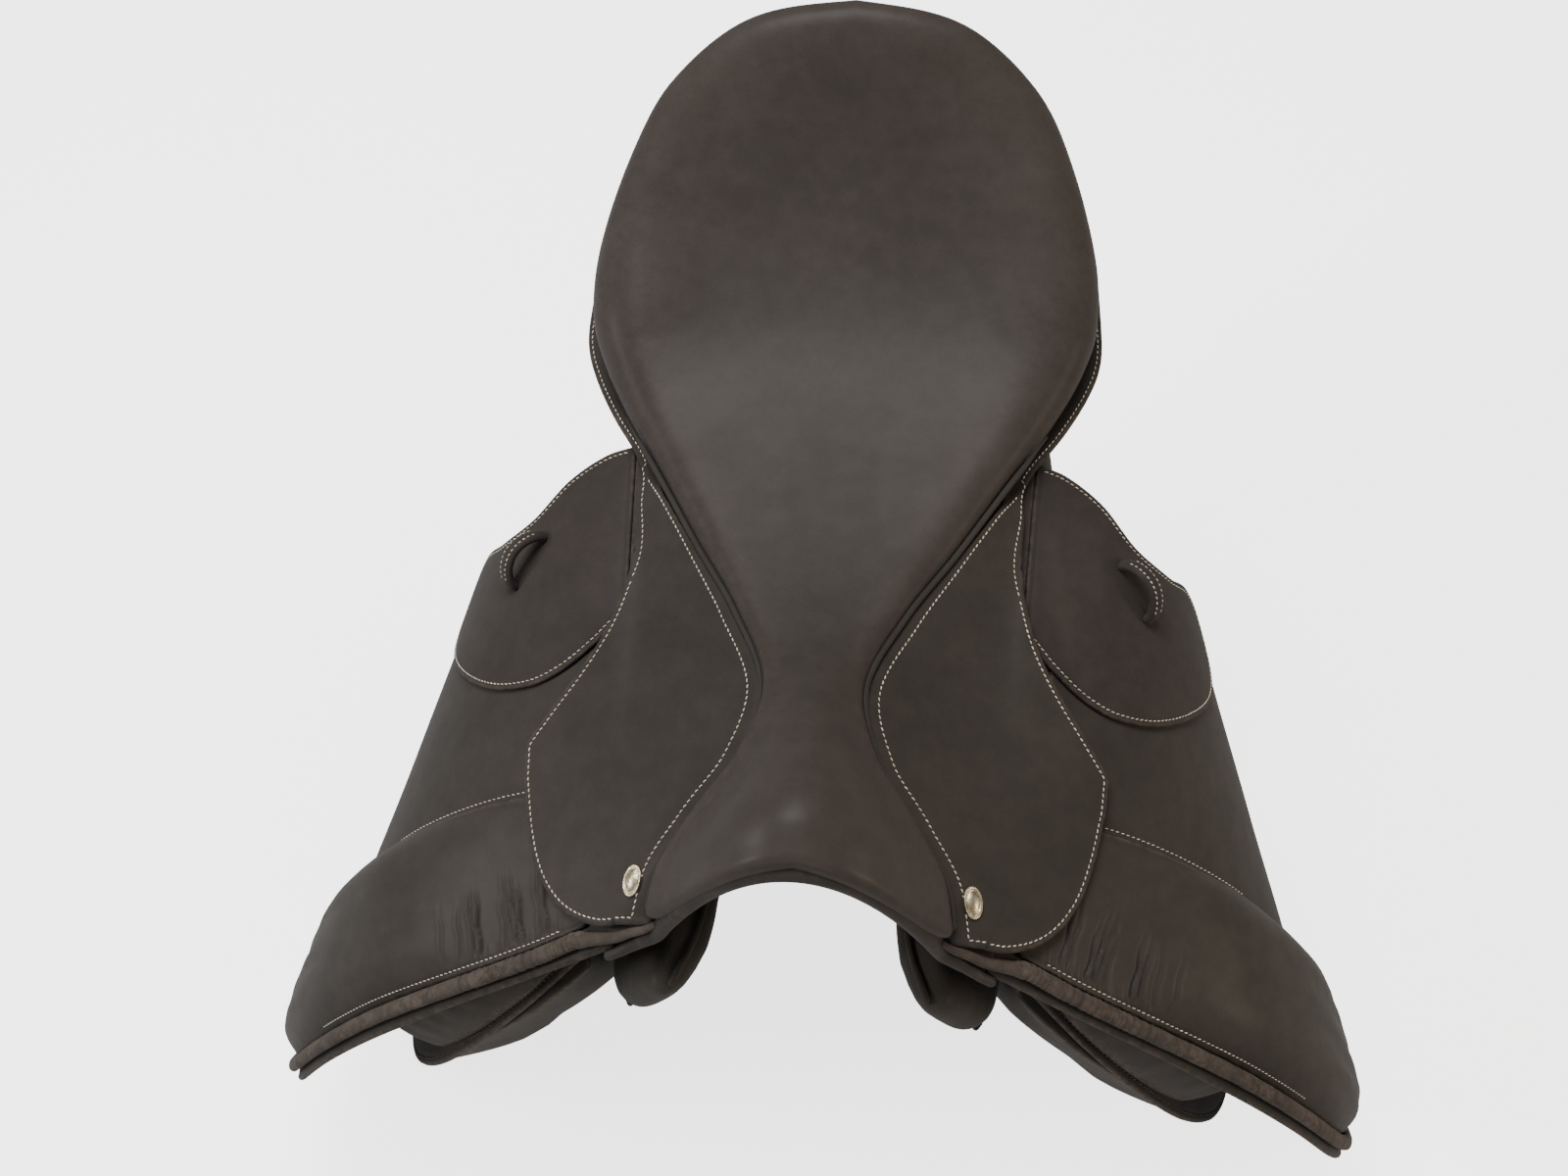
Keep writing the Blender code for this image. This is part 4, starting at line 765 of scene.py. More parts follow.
def outline(front, rear, spacing=0.0025, top=()):
    """The closed edge of a piece of leather from its front and rear edges, each in (s, y)."""
    ahead = through([(y, s) for s, y in front], spacing)
    behind = through([(y, s) for s, y in rear], spacing)[::-1]
    foot = even([ahead[-1], behind[0]], spacing)[1:-1]
    head = even([behind[-1], *top, ahead[0]], spacing)[1:-1]
    return np.concatenate([ahead, foot, behind, head])


def edge_distance(points, line):
    """Least distance of many flat points from a closed line."""
    step = np.roll(line, -1, axis=0) - line
    found = []
    for i in range(0, len(points), 2000):
        offset = points[i:i + 2000, None] - line
        t = np.clip((offset * step).sum(axis=2) / (step * step).sum(axis=1), 0.0, 1.0)
        found.append(np.linalg.norm(offset - t[..., None] * step, axis=2).min(axis=1))
    return np.concatenate(found) if found else np.zeros(0)


def is_inside(points, line):
    """Which flat points lie inside a closed line."""
    x, y = points[:, :1], points[:, 1:]
    (ax, ay), (bx, by) = line.T, np.roll(line, -1, axis=0).T
    rise = np.where(by == ay, 1e-12, by - ay)
    return (((ay > y) != (by > y)) & (x < (bx - ax) * (y - ay) / rise + ax)).sum(axis=1) % 2 == 1


def inset(line, depth):
    """A closed line drawn in by a depth, without the points that would double back."""
    area = np.sum(line[:, 0] * np.roll(line[:, 1], -1) - line[:, 1] * np.roll(line[:, 0], -1))
    along = unit(np.roll(line, -1, axis=0) - np.roll(line, 1, axis=0))
    inner = line + np.stack([-along[:, 1], along[:, 0]], axis=1) * depth * math.copysign(1.0, area)
    return inner[(edge_distance(inner, line) > 0.97 * depth) & is_inside(inner, line)]


def cut(line, spacing, holes=(), fine=None, rings=EDGE_RINGS):
    """Small triangles over a closed edge, close together along it: points, faces, depth from the edge."""
    loops = [line, *holes]
    kept = list(loops) + [inset(line, depth) for depth in rings]
    for hole in holes:
        middle = hole.mean(axis=0)
        kept += [middle + (hole - middle) * (1.0 + d / np.linalg.norm(hole - middle, axis=1))[:, None]
                 for d in (0.0005, 0.0013)]
    low, high = line.min(axis=0), line.max(axis=0)
    for step, zone in ((spacing, None), (fine[4] if fine else None, fine)):
        if step is None:
            continue
        start, stop = (low, high) if zone is None else (np.array(zone[:2]), np.array(zone[2:4]))
        y, s = np.meshgrid(np.arange(start[0], stop[0], step), np.arange(start[1], stop[1], step * 0.866))
        y = y + step * 0.5 * (np.arange(len(y)) % 2)[:, None]
        grid = np.stack([y.ravel(), s.ravel()], axis=1)
        keep = is_inside(grid, line) & (edge_distance(grid, line) > rings[-1] + 0.6 * spacing)
        if zone is not None:
            keep = is_inside(grid, line) & (edge_distance(grid, line) > 0.0009)
        elif fine:
            keep &= ~((grid > fine[:2]) & (grid < fine[2:4])).all(axis=1)
        for hole in holes:
            keep &= ~is_inside(grid, hole) & (edge_distance(grid, hole) > 0.0018)
        kept.append(grid[keep])
    corners = np.concatenate(kept)
    edges = []
    start = 0
    for loop in loops:
        edges += [(start + i, start + (i + 1) % len(loop)) for i in range(len(loop))]
        start += len(loop)
    found = delaunay_2d_cdt([Vector(p) for p in corners], edges, [], 0, 1e-7)
    points = np.array([p[:] for p in found[0]])
    faces = np.array([face for face in found[2] if len(face) == 3])
    centre = points[faces].mean(axis=1)
    keep = is_inside(centre, line)
    for hole in holes:
        keep &= ~is_inside(centre, hole)
    depth = np.min([edge_distance(points, loop) for loop in loops], axis=0)
    return points, faces[keep], depth


def edge_bend(depth, thickness):
    """How far a rounded edge has opened to the leather's full thickness, at a depth from it."""
    return np.sqrt(1.0 - (1.0 - np.clip(depth / (thickness * 0.5), 0.0, 1.0))**2)


def leather_mesh(line, place, thickness, spacing=0.004, base=0.0, swell=None, groove=None, holes=(),
                 fine=None, dark=None, rings=EDGE_RINGS):
    """A closed piece of leather cut to a line, with rounded edges: its vertices, faces and marks."""
    points, faces, depth = cut(line, spacing, holes, fine, rings)
    y, s = points.T
    bend = edge_bend(depth, thickness)
    upper = base + thickness * (0.5 + 0.5 * bend)
    lower = base + thickness * (0.5 - 0.5 * bend)
    crease = np.zeros(len(points))
    if swell is not None:
        upper = upper + swell(y, s, depth)
    # A sewn groove sinks the face and gets painted shade in it; dark adds more painted shade, such as in the
    # bottoms of creases.
    if groove is not None:
        dip = np.exp(-((depth - groove) / 0.0010)**2)
        upper = upper - 0.0003 * dip
        crease = 0.35 * dip
    if dark is not None:
        crease = np.maximum(crease, dark(y, s, depth))
    rim = depth < 1e-6
    below = np.cumsum(~rim) - 1 + len(points)
    below[rim] = np.arange(len(points))[rim]
    vertices = np.concatenate([place(y, s, upper), place(y[~rim], s[~rim], lower[~rim])])
    faces = np.concatenate([faces, below[faces[:, ::-1]]])
    worn = np.exp(-(depth / 0.0016)**2)
    marks = {"edge": np.concatenate([worn, 0.4 * worn[~rim]]),
             "crease": np.concatenate([crease, np.zeros(np.count_nonzero(~rim))])}
    return vertices, faces, marks


def both_sides(name, shape, made, body, replaced=None):
    """Makes a piece of leather for the left and its mirror image for the right."""
    vertices, faces, marks = shape
    for side_name, side in SIDES:
        piece = face_out(mesh_piece(name + "_" + side_name, vertices, faces, made, side, marks, sharp=60.0))
        if replaced:
            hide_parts(*(node + "_" + side_name for node in replaced))
        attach(piece, body.replace("SIDE", side_name))


def thread_material(name, soiled, clean):
    made, shader = shader_material(name, 0.62, specular=0.3)
    tree = made.node_tree
    place = object_place(tree)
    soil = spread_over(tree, noise(tree, place, 260.0, 4.0), 0.36, 0.66)
    tree.links.new(mix_colour(tree, soil, soiled, clean), shader.inputs["Base Color"])
    bump(tree, noise(tree, place, 3200.0, 2.0), shader, 0.5, 0.0001)
    return made


THREAD = thread_material("waxed_thread", (0.40, 0.34, 0.25, 1), (0.66, 0.60, 0.49, 1))
BROWN_THREAD = thread_material("brown_thread", (0.060, 0.046, 0.036, 1), (0.130, 0.100, 0.076, 1))
STITCH_RINGS = ((-1.00, 0.25), (-0.72, 0.85), (-0.20, 1.0), (0.20, 1.0), (0.72, 0.85), (1.00, 0.25))
STITCH_AROUND = 6
STITCH_SLANT = 0.16


def stitches(name, line, place, body, pitch=0.0031, long=0.0022, radius=0.00036, lift=0.0, made=THREAD):
    """Rows of thread along a flat line on a surface, for the left and the right."""
    fine = even(line, 0.0005)
    track = place(fine[:, 0], fine[:, 1], np.full(len(fine), lift))
    lengths = run_lengths(track)
    count = int(lengths[-1] / pitch)
    at = (np.arange(count) + 0.5) * lengths[-1] / count

    def read(values, where):
        return np.stack([np.interp(where, lengths, values[:, k]) for k in range(values.shape[1])], axis=1)

    y, s = read(fine, at).T
    middle = place(y, s, np.full(count, lift))
    up = unit(place(y, s, np.full(count, lift + 0.001)) - middle)
    ahead = unit(read(track, at + 0.0008) - read(track, at - 0.0008))
    across = np.cross(up, ahead)
    ahead = unit(ahead + STITCH_SLANT * across)
    across = np.cross(up, ahead)
    vertices = []
    for u, width in STITCH_RINGS:
        core = middle + ahead * (u * long * 0.5) + up * (radius * (0.55 - u * u))
        wide = radius * width
        for a in np.linspace(0.0, 2.0 * math.pi, STITCH_AROUND, endpoint=False):
            vertices.append(core + across * (wide * math.cos(a)) + up * (wide * math.sin(a)))
    vertices = np.stack(vertices, axis=1).reshape(-1, 3)
    last = STITCH_AROUND * (len(STITCH_RINGS) - 1)
    one = grid_faces(len(STITCH_RINGS), STITCH_AROUND, closed=True)
    one += [tuple(reversed(range(STITCH_AROUND))), tuple(last + k for k in range(STITCH_AROUND))]
    size = STITCH_AROUND * len(STITCH_RINGS)
    faces = [tuple(k + i * size for k in face) for i in range(count) for face in one]
    for side_name, side in SIDES:
        piece = mesh_piece(name + "_" + side_name, vertices, faces, made, side, sharp=80.0)
        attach(piece, body.replace("SIDE", side_name))


SWEAT = Flank(SWEAT_SECTIONS)
BRIDLE = leather("bridle_leather", (0.020, 0.0165, 0.0135), (0.038, 0.031, 0.025), (0.085, 0.062, 0.046),
                 dull=0.44, grain=0.5, rub=0.7)
sweat_line = outline(SWEAT_FRONT, SWEAT_REAR, 0.0035)
sweat_shape = leather_mesh(sweat_line, SWEAT.off, SWEAT_LEATHER, 0.007, base=-SWEAT_LEATHER,
                           groove=SWEAT_SEAM)
both_sides("sweat_flap_leather", sweat_shape, BRIDLE, "saddle", ["sweat_flap"])
sweat_seam = inset(sweat_line, SWEAT_SEAM)
stitches("sweat_flap_stitches", sweat_seam[sweat_seam[:, 1] > 0.014], SWEAT.off, "saddle",
         pitch=0.0036, lift=-0.0002, made=BROWN_THREAD)


# Knee blocks
# A shaped foam block in a leather case, laced on the front of each sweat flap to stand behind the
# rider's knee, with a stitched edge that shows under the flap.
BLOCK_FRONT = ((0.048, -0.239), (0.085, -0.255), (0.135, -0.267), (0.185, -0.269), (0.210, -0.261),
               (0.222, -0.250))
BLOCK_REAR = ((0.048, -0.220), (0.090, -0.208), (0.140, -0.206), (0.190, -0.214), (0.210, -0.222),
              (0.222, -0.234))
BLOCK_SWELL = 0.028
BLOCK_SEAM = 0.0125
SEWN_GAP = 0.0008
PAD_EDGE = 0.0022
PAD_RINGS = (0.0005, 0.0014, 0.0026, 0.0040, 0.0060, 0.0085, 0.0115)


def crown(depth, reach, power=2.4):
    """Rises steeply from a sewn edge and levels off at reach, as a stuffed case does."""
    return 1.0 - (1.0 - np.clip(depth / reach, 0.0, 1.0))**power


def block_swell(y, s, depth):
    """The block's height: a crown that grows down the flap, with a little unevenness."""
    full = BLOCK_SWELL * smooth_step((s - 0.020) / 0.120)
    uneven = 0.00035 * np.sin(s * 310.0 + 4.0 * np.sin(y * 60.0))
    return full * crown(depth, 0.019) + uneven * crown(depth, 0.01)


PAD_CALF = leather("pad_calf", (0.019, 0.0160, 0.0130), (0.036, 0.030, 0.024), (0.095, 0.068, 0.050),
                   dull=0.40, grain=0.55, rub=0.6)
block_line = outline(BLOCK_FRONT, BLOCK_REAR, 0.0022)
block_shape = leather_mesh(block_line, SWEAT.off, PAD_EDGE, 0.0035, base=SEWN_GAP * 0.4, swell=block_swell,
                           rings=PAD_RINGS)
both_sides("knee_block_case", block_shape, PAD_CALF, "saddle", ["knee_block"])


def block_side(y, s, height):
    """The block's own leather, for what is sewn on it."""
    depth = edge_distance(np.stack([y, s], axis=1), block_line)
    return SWEAT.off(y, s, height + SEWN_GAP * 0.4 + PAD_EDGE + block_swell(y, s, depth))


block_seam = inset(block_line, BLOCK_SEAM)
stitches("knee_block_stitches", block_seam[block_seam[:, 1] > 0.058], block_side, "saddle",
         lift=-0.0001, made=BROWN_THREAD)


# Panel flaps
# The panel's long leather leaf behind each sweat flap: a thick stuffed roll down its front edge
# and a thin padded skin behind it, against the horse.
PANEL_FLAP_FRONT = ((0.040, -0.246), (0.060, -0.254), (0.096, -0.264), (0.150, -0.271), (0.200, -0.274),
                    (0.245, -0.265), (0.276, -0.246), (0.296, -0.220), (0.306, -0.192), (0.312, -0.160))
PANEL_FLAP_REAR = ((0.040, -0.232), (0.060, -0.214), (0.075, -0.180), (0.090, -0.110), (0.105, -0.030),
                   (0.135, -0.017), (0.210, -0.031), (0.260, -0.042), (0.285, -0.058), (0.300, -0.082),
                   (0.308, -0.102), (0.312, -0.122))
PANEL_FLAP_SWELL = 0.062


def panel_flap_swell(y, s, depth):
    """The leaf's height: full down its front roll, thin behind it, softly uneven."""
    front = 1.0 - smooth_step((y + 0.225) / 0.085)
    full = 0.14 + 0.86 * front * smooth_step((s - 0.034) / 0.050)
    soft = 0.0006 * np.sin(s * 95.0 + 3.0 * np.sin(y * 41.0)) * np.sin(y * 70.0 + 1.3)
    return (PANEL_FLAP_SWELL * full + soft) * crown(depth, 0.028, 2.3)


def panel_flap_place(y, s, height):
    return SWEAT.off(y, s, -(SWEAT_LEATHER + SEWN_GAP * 0.4) - height)


panel_flap_line = outline(PANEL_FLAP_FRONT, PANEL_FLAP_REAR, 0.0035)
panel_flap_shape = leather_mesh(panel_flap_line, panel_flap_place, PAD_EDGE, 0.006,
                                swell=panel_flap_swell, rings=PAD_RINGS)
both_sides("panel_flap_case", panel_flap_shape, PAD_CALF, "saddle", ["panel_flap"])


# Panel cushions
# Two wool-flocked cushions that rest on the horse beside its spine, in soft calf sewn along the
# gullet and under the tree. They swell between their seams, which the cloth run gives them.
PANEL_SECTIONS = np.array((
    (-0.262, 0.066, 0.106, 0.084, 0.066, 0.006), (-0.252, 0.062, 0.106, 0.092, 0.052, 0.014),
    (-0.228, 0.054, 0.101, 0.097, 0.044, 0.019), (-0.190, 0.049, 0.096, 0.103, 0.044, 0.021),
    (-0.155, 0.045, 0.092, 0.110, 0.048, 0.024), (-0.110, 0.042, 0.090, 0.118, 0.058, 0.031),
    (-0.050, 0.041, 0.084, 0.122, 0.062, 0.040), (0.010, 0.041, 0.076, 0.126, 0.062, 0.047),
    (0.065, 0.042, 0.064, 0.126, 0.060, 0.055), (0.120, 0.046, 0.061, 0.116, 0.061, 0.061),
    (0.165, 0.048, 0.071, 0.102, 0.073, 0.053), (0.200, 0.050, 0.088, 0.086, 0.090, 0.036),
    (0.220, 0.056, 0.104, 0.074, 0.104, 0.014)))
CUSHION_RUN = (-0.262, 0.220)
CUSHION_AROUND = 64
CUSHION_VOXEL = 0.0045
CUSHION_SHRINK = 0.0012
CUSHION_CAP = 0.0030
CLOTH_FRAMES = 20
PIPING_RUN = (-0.255, 0.212)
PIPING_RADIUS = 0.0018


def cushion_ring(y, around, shrink=1.0):
    """A closed section across a cushion, starting on its outer seam."""
    x0, z0, x1, z1, half = spline(y, PANEL_SECTIONS[:, 0], PANEL_SECTIONS[:, 1:])
    inner, outer = np.array((x0, z0)), np.array((x1, z1))
    along = unit(outer - inner)
    reach = np.linalg.norm(outer - inner) / 2
    u = np.sign(np.cos(around)) * np.abs(np.cos(around))**0.62 * reach * shrink
    v = np.sign(np.sin(around)) * np.abs(np.sin(around))**0.80 * half * shrink
    flat = (inner + outer) / 2 + along * u[:, None] + np.array((-along[1], along[0])) * v[:, None]
    return np.stack([flat[:, 0], np.full(len(around), y), flat[:, 1]], axis=1)


def build_cushion():
    around = np.linspace(0.0, 2.0 * math.pi, CUSHION_AROUND, endpoint=False)
    rows = [cushion_ring(y, around) for y in np.linspace(*CUSHION_RUN, 121)]
    ends = [cushion_ring(y, around, 0.4) for y in CUSHION_RUN]
    rows = [ends[0], *rows, ends[1]]
    faces = tube_faces(len(rows), CUSHION_AROUND)
    piece = face_out(mesh_piece("panel_cushion_left", np.concatenate(rows), faces, PAD_CALF))
    round_over(piece, CUSHION_VOXEL, 2, CUSHION_SHRINK)
    blow_up(piece)
    fuller = piece.modifiers.new("finer", "SUBSURF")
    fuller.levels = 1
    return apply_modifiers(piece)


def blow_up(piece):
    """Swells a stuffed case by a cloth run, held along its two seams."""
    start = np.array([v.co[:] for v in piece.data.vertices])
    ys = np.linspace(*CUSHION_RUN, 200)
    seam = np.concatenate([cushion_ring(y, np.array((0.0, math.pi))) for y in ys])
    near = np.array([np.min(np.linalg.norm(seam - p, axis=1)) for p in start])
    pins = piece.vertex_groups.new(name="seams")
    for i, gap in enumerate(near):
        pins.add([i], float(1.0 - smooth_step((gap - 0.003) / 0.008)), "REPLACE")
    cloth = piece.modifiers.new("cloth", "CLOTH")
    cloth.settings.quality = 6
    cloth.settings.mass = 0.3
    cloth.settings.tension_stiffness = 20.0
    cloth.settings.compression_stiffness = 8.0
    cloth.settings.bending_stiffness = 0.4
    cloth.settings.vertex_group_mass = "seams"
    cloth.settings.use_pressure = True
    cloth.settings.uniform_pressure_force = 4.0
    cloth.settings.effector_weights.gravity = 0.0
    cloth.collision_settings.use_self_collision = False
    scene = bpy.context.scene
    cloth.point_cache.frame_start = 1
    cloth.point_cache.frame_end = CLOTH_FRAMES
    for number in range(1, CLOTH_FRAMES + 1):
        scene.frame_set(number)
    apply_modifiers(piece)
    scene.frame_set(1)
    end = np.array([v.co[:] for v in piece.data.vertices])
    move = end - start
    far = np.linalg.norm(move, axis=1, keepdims=True)
    end = start + move * np.minimum(1.0, CUSHION_CAP / np.maximum(far, 1e-9))
    piece.data.vertices.foreach_set("co", end.astype(np.float32).ravel())
    piece.data.update()
    piece.vertex_groups.clear()


cushion = build_cushion()
mirrored = add_object("panel_cushion_right", cushion.data.copy())
mirrored.data.transform(Matrix.Diagonal((-1.0, 1.0, 1.0, 1.0)))
mirrored.data.flip_normals()
seam_ys = np.linspace(*PIPING_RUN, 150)
for piece, (side_name, side) in zip((cushion, mirrored), SIDES):
    piece.data.shade_smooth()
    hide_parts("panel_" + side_name)
    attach(piece, "saddle")
    for place_name, turn in (("gullet", math.pi), ("outer", 0.0)):
        path = np.concatenate([cushion_ring(y, np.array((turn,))) for y in seam_ys])
        piping = rope("panel_piping_" + place_name + "_" + side_name, path, PIPING_RADIUS, TRIM_CALF, side,
                      around=10)
        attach(piping, "saddle")


# Gullet lining and arch lining
# Soft leather that closes the underside of the tree between the two cushions, and a thinner piece
# glued on ahead of it, from its front edge up to the pommel roll, that closes the arch.
LINING_STATIONS = np.array((
    (-0.205, 0.046, 0.176, 0.120), (-0.170, 0.044, 0.158, 0.1185), (-0.130, 0.042, 0.139, 0.1190),
    (-0.080, 0.040, 0.129, 0.1195), (0.000, 0.038, 0.125, 0.1190), (0.080, 0.038, 0.124, 0.1190),
    (0.150, 0.042, 0.124, 0.1185), (0.195, 0.046, 0.125, 0.1200)))
LINING_LEATHER = 0.0020
ARCH_LEATHER = 0.0012
ARCH_TOP = (0.0, 0.0058, -0.0024)
ARCH_FOOT_AHEAD = 0.0035
ARCH_BOW = 0.0045


def sheet_solid(name, grid, thickness, made, side=1.0):
    """A grid of points made into a leather sheet, thick on the side away from its face."""
    rows, columns = grid.shape[:2]
    worn = np.zeros((rows, columns))
    worn[[0, -1]] = 1.0
    worn[:, [0, -1]] = 1.0
    faces = grid_faces(rows, columns)
    piece = mesh_piece(name, grid.reshape(-1, 3), faces, made, side, {"edge": worn.ravel()})
    skin = piece.modifiers.new("thickness", "SOLIDIFY")
    skin.thickness = thickness
    skin.offset = -1.0
    skin.use_quality_normals = True
    soft = piece.modifiers.new("rounded edge", "BEVEL")
    soft.width = thickness * 0.3
    soft.segments = 2
    soft.angle_limit = math.radians(50)
    apply_modifiers(piece)
    piece.data.shade_smooth()
    piece.data.set_sharp_from_angle(angle=math.radians(60))
    return face_out(piece)


lining_ys = np.linspace(-0.205, 0.195, 81)
half, middle, rim = spline(lining_ys, LINING_STATIONS[:, 0], LINING_STATIONS[:, 1:]).T
f = np.linspace(-1.0, 1.0, 25)
lining_grid = np.stack([half[:, None] * f, np.repeat(lining_ys[:, None], 25, axis=1),
                        middle[:, None] + (rim - middle)[:, None] * f**2], axis=2)
lining = sheet_solid("gullet_lining_leather", lining_grid[::-1], LINING_LEATHER, PAD_CALF)
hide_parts("gullet_lining")
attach(lining, "saddle")

f = np.linspace(-0.98, 0.98, 61)
arch_top = facing_line(f) + ARCH_TOP
arch_foot = np.stack([half[0] * f, np.full(len(f), lining_ys[0] - ARCH_FOOT_AHEAD),
                      middle[0] + (rim[0] - middle[0]) * f**2], axis=1)
share = np.linspace(0.0, 1.0, 15)
arch_grid = arch_top[:, None] + (arch_foot - arch_top)[:, None] * share[:, None]
arch_grid[..., 1] -= ARCH_BOW * np.sin(math.pi * share)**0.6
arch_lining = sheet_solid("pommel_arch_lining", arch_grid, ARCH_LEATHER, PAD_CALF)
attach(arch_lining, "saddle")


# Cantle back and rail end covers
# The leather facing that closes the rear from the rolled edge of the seat down to the panels,
# lasted wet round the cantle, and the thin covers over the rails' ends between it and the skirts.
SKIRT_LEATHER = 0.0035
CANTLE_Y = 0.060
CANTLE_IN = 0.013
CANTLE_DROP = 0.014
CANTLE_FOOT = 0.1210
COVER_RUN = (0.0100, 0.0602)
COVER_LEATHER = 0.0015


def cantle_point(t, f):
    """A place on the facing: t runs round the cantle from the left end, f from its top to its foot."""
    at = np.abs(2.0 * t - 1.0)
    x, y, top = [np.interp(1.0 - at, CANTLE_AT, CANTLE_EDGE[:, k]) for k in range(3)]
    x = x * np.where(t < 0.5, 1.0, -1.0)
    back = smooth_step((y - CANTLE_Y) / 0.150)
    foot = CANTLE_FOOT + 0.0105 * back**2
    return np.stack([x * (1.0 - 0.16 * f), y - 0.012 * f * back, top + (foot - top) * f], axis=-1)


seat_line = through(SEAT_EDGE, 0.002)
seat_line = seat_line[seat_line[:, 1] > CANTLE_Y + 0.0005]
reach = np.hypot(seat_line[:, 0], seat_line[:, 1] - CANTLE_Y)
drawn_in = 1.0 - CANTLE_IN / np.maximum(reach, 0.02)
CANTLE_EDGE = np.stack([seat_line[:, 0] * drawn_in, CANTLE_Y + (seat_line[:, 1] - CANTLE_Y) * drawn_in,
                        seat_line[:, 2] - CANTLE_DROP], axis=1)
CANTLE_AT = np.linspace(0.0, 1.0, len(CANTLE_EDGE))
FLAP_CALF = leather("flap_calf", (0.0165, 0.0136, 0.0110), (0.0290, 0.0236, 0.0190), (0.075, 0.056, 0.042),
                    dull=0.42, grain=0.5, rub=0.6)
t, f = np.meshgrid(np.linspace(0.0, 1.0, 181), np.linspace(0.0, 1.0, 31), indexing="ij")
cantle = sheet_solid("cantle_back_facing", cantle_point(t, f), SKIRT_LEATHER, FLAP_CALF)
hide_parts("cantle_back")
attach(cantle, "saddle")

cover_y, f = np.meshgrid(np.linspace(*COVER_RUN, 24), np.linspace(0.0, 1.0, 14), indexing="ij")
run = np.maximum((cover_y - 0.0340) / 0.0262, 0.0)
low = 1.0 - smooth_step((cover_y - 0.0300) / 0.0060)
cover_top = np.stack([0.1070 + 0.0060 * run - 0.0115 * low, cover_y,
                      0.1503 + 0.0045 * run - 0.0068 * low], axis=2)
cover_foot = np.stack([0.0955 - 0.0020 * low, cover_y, np.full(low.shape, CANTLE_FOOT)], axis=2)
cover_grid = cover_top + (cover_foot - cover_top) * f[..., None]
for side_name, side in SIDES:
    cover = sheet_solid("rail_end_cover_" + side_name, cover_grid, COVER_LEATHER, FLAP_CALF, side)
    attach(cover, "saddle")


# Girth webs and girth straps
# A linen web apron nailed under each rail, and the two bridle-leather straps sewn to it that the
# girth buckles on: seven punched holes, creased edges and a pointed tip.
STRAP_LEATHER = 0.0040
STRAP_WIDTH = 0.030
STRAP_TOP = 0.036
STRAP_TIP = 0.290
STRAP_POINT = 0.016
STRAP_MIDDLES = (("front", -0.118), ("rear", -0.070))
STRAP_CREASE = 0.0031
HOLE_RADIUS = 0.0021
HOLE_RUN = (0.148, 0.268)
SEWN_BOX = (0.042, 0.066)
WEB_THICKNESS = 0.0014
WEB_RUN = (-0.140, -0.048)
UNDER_RAIL = ((0.044, 0.1270), (0.062, 0.1262), (0.080, 0.1262))


def strap_height(s):
    return STRAP_LEATHER + 2 * SEWN_GAP + 0.004 * smooth_step((s - 0.05) / 0.2)


def strap_place(y, s, height):
    """The strap's own outer face, laid over the sweat flap."""
    return SWEAT.off(y, s, strap_height(s) + height)


web_rows = []
for y in np.linspace(*WEB_RUN, 31):
    under_rail = np.array([(x, y, z) for x, z in UNDER_RAIL])
    hanging = SWEAT.off(np.full(3, y), np.array((0.006, 0.020, 0.033)), np.full(3, 0.0026))
    web_rows.append(through(np.concatenate([under_rail, hanging]), 0.003)[:27])
web_grid = np.stack([even(row, np.linalg.norm(np.diff(row, axis=0), axis=1).sum() / 26.0)[:26]
                     for row in web_rows])
for side_name, side in SIDES:
    web = sheet_solid("girth_web_apron_" + side_name, web_grid, WEB_THICKNESS, WEB, side)
    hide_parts("girth_web_" + side_name)
    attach(web, "saddle")

half = STRAP_WIDTH / 2
for end, middle in STRAP_MIDDLES:
    corner = [(middle + half * math.cos(a), STRAP_TIP - STRAP_POINT + STRAP_POINT * math.sin(a))
              for a in np.radians(np.linspace(4.0, 176.0, 23))]
    strap_line = np.array([(middle - half, STRAP_TOP), (middle + half, STRAP_TOP), *corner])
    strap_line = even(np.concatenate([strap_line, strap_line[:1]]), 0.0022)[:-1]
    around = np.linspace(0.0, 2.0 * math.pi, 14, endpoint=False)
    holes = [np.stack([middle + HOLE_RADIUS * np.cos(around), s + HOLE_RADIUS * np.sin(around)], axis=1)
             for s in np.linspace(*HOLE_RUN, 7)]
    strap_shape = leather_mesh(strap_line, strap_place, STRAP_LEATHER, 0.005, base=-STRAP_LEATHER,
                               groove=STRAP_CREASE, holes=holes)
    both_sides("girth_strap_leather_" + end, strap_shape, BRIDLE,
               "SIDE_" + end + "_strap", ["girth_strap_" + end])
    ahead, behind = middle - 0.010, middle + 0.010
    top, foot = SEWN_BOX
    box = np.array([(ahead, top), (behind, top), (behind, foot), (ahead, foot), (ahead, top), (behind, foot)])
    stitches("girth_strap_stitches_" + end, box, strap_place, "SIDE_" + end + "_strap",
             pitch=0.0034)


# Stirrup bars and catches
# Forged steel bars riveted to the rails, open to the rear, with a hinged thumb catch at the open
# end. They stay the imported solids, with the heads of their rivets added.
BAR_TILT = math.radians(19)
BAR_PITCH = math.atan(0.082)
BAR_PLACE = (0.0965, -0.140, 0.1339)
BAR_THICKNESS = 0.0050
RIVET_RADIUS = 0.0034
RIVET_PLACES = ((-0.0225, -0.0440), (-0.0225, 0.0370), (-0.0225, 0.0080))
RIVET = ((1.0, -0.0004), (1.0, 0.0002), (0.93, 0.0007), (0.72, 0.0012), (0.40, 0.0015), (0.05, 0.0016))


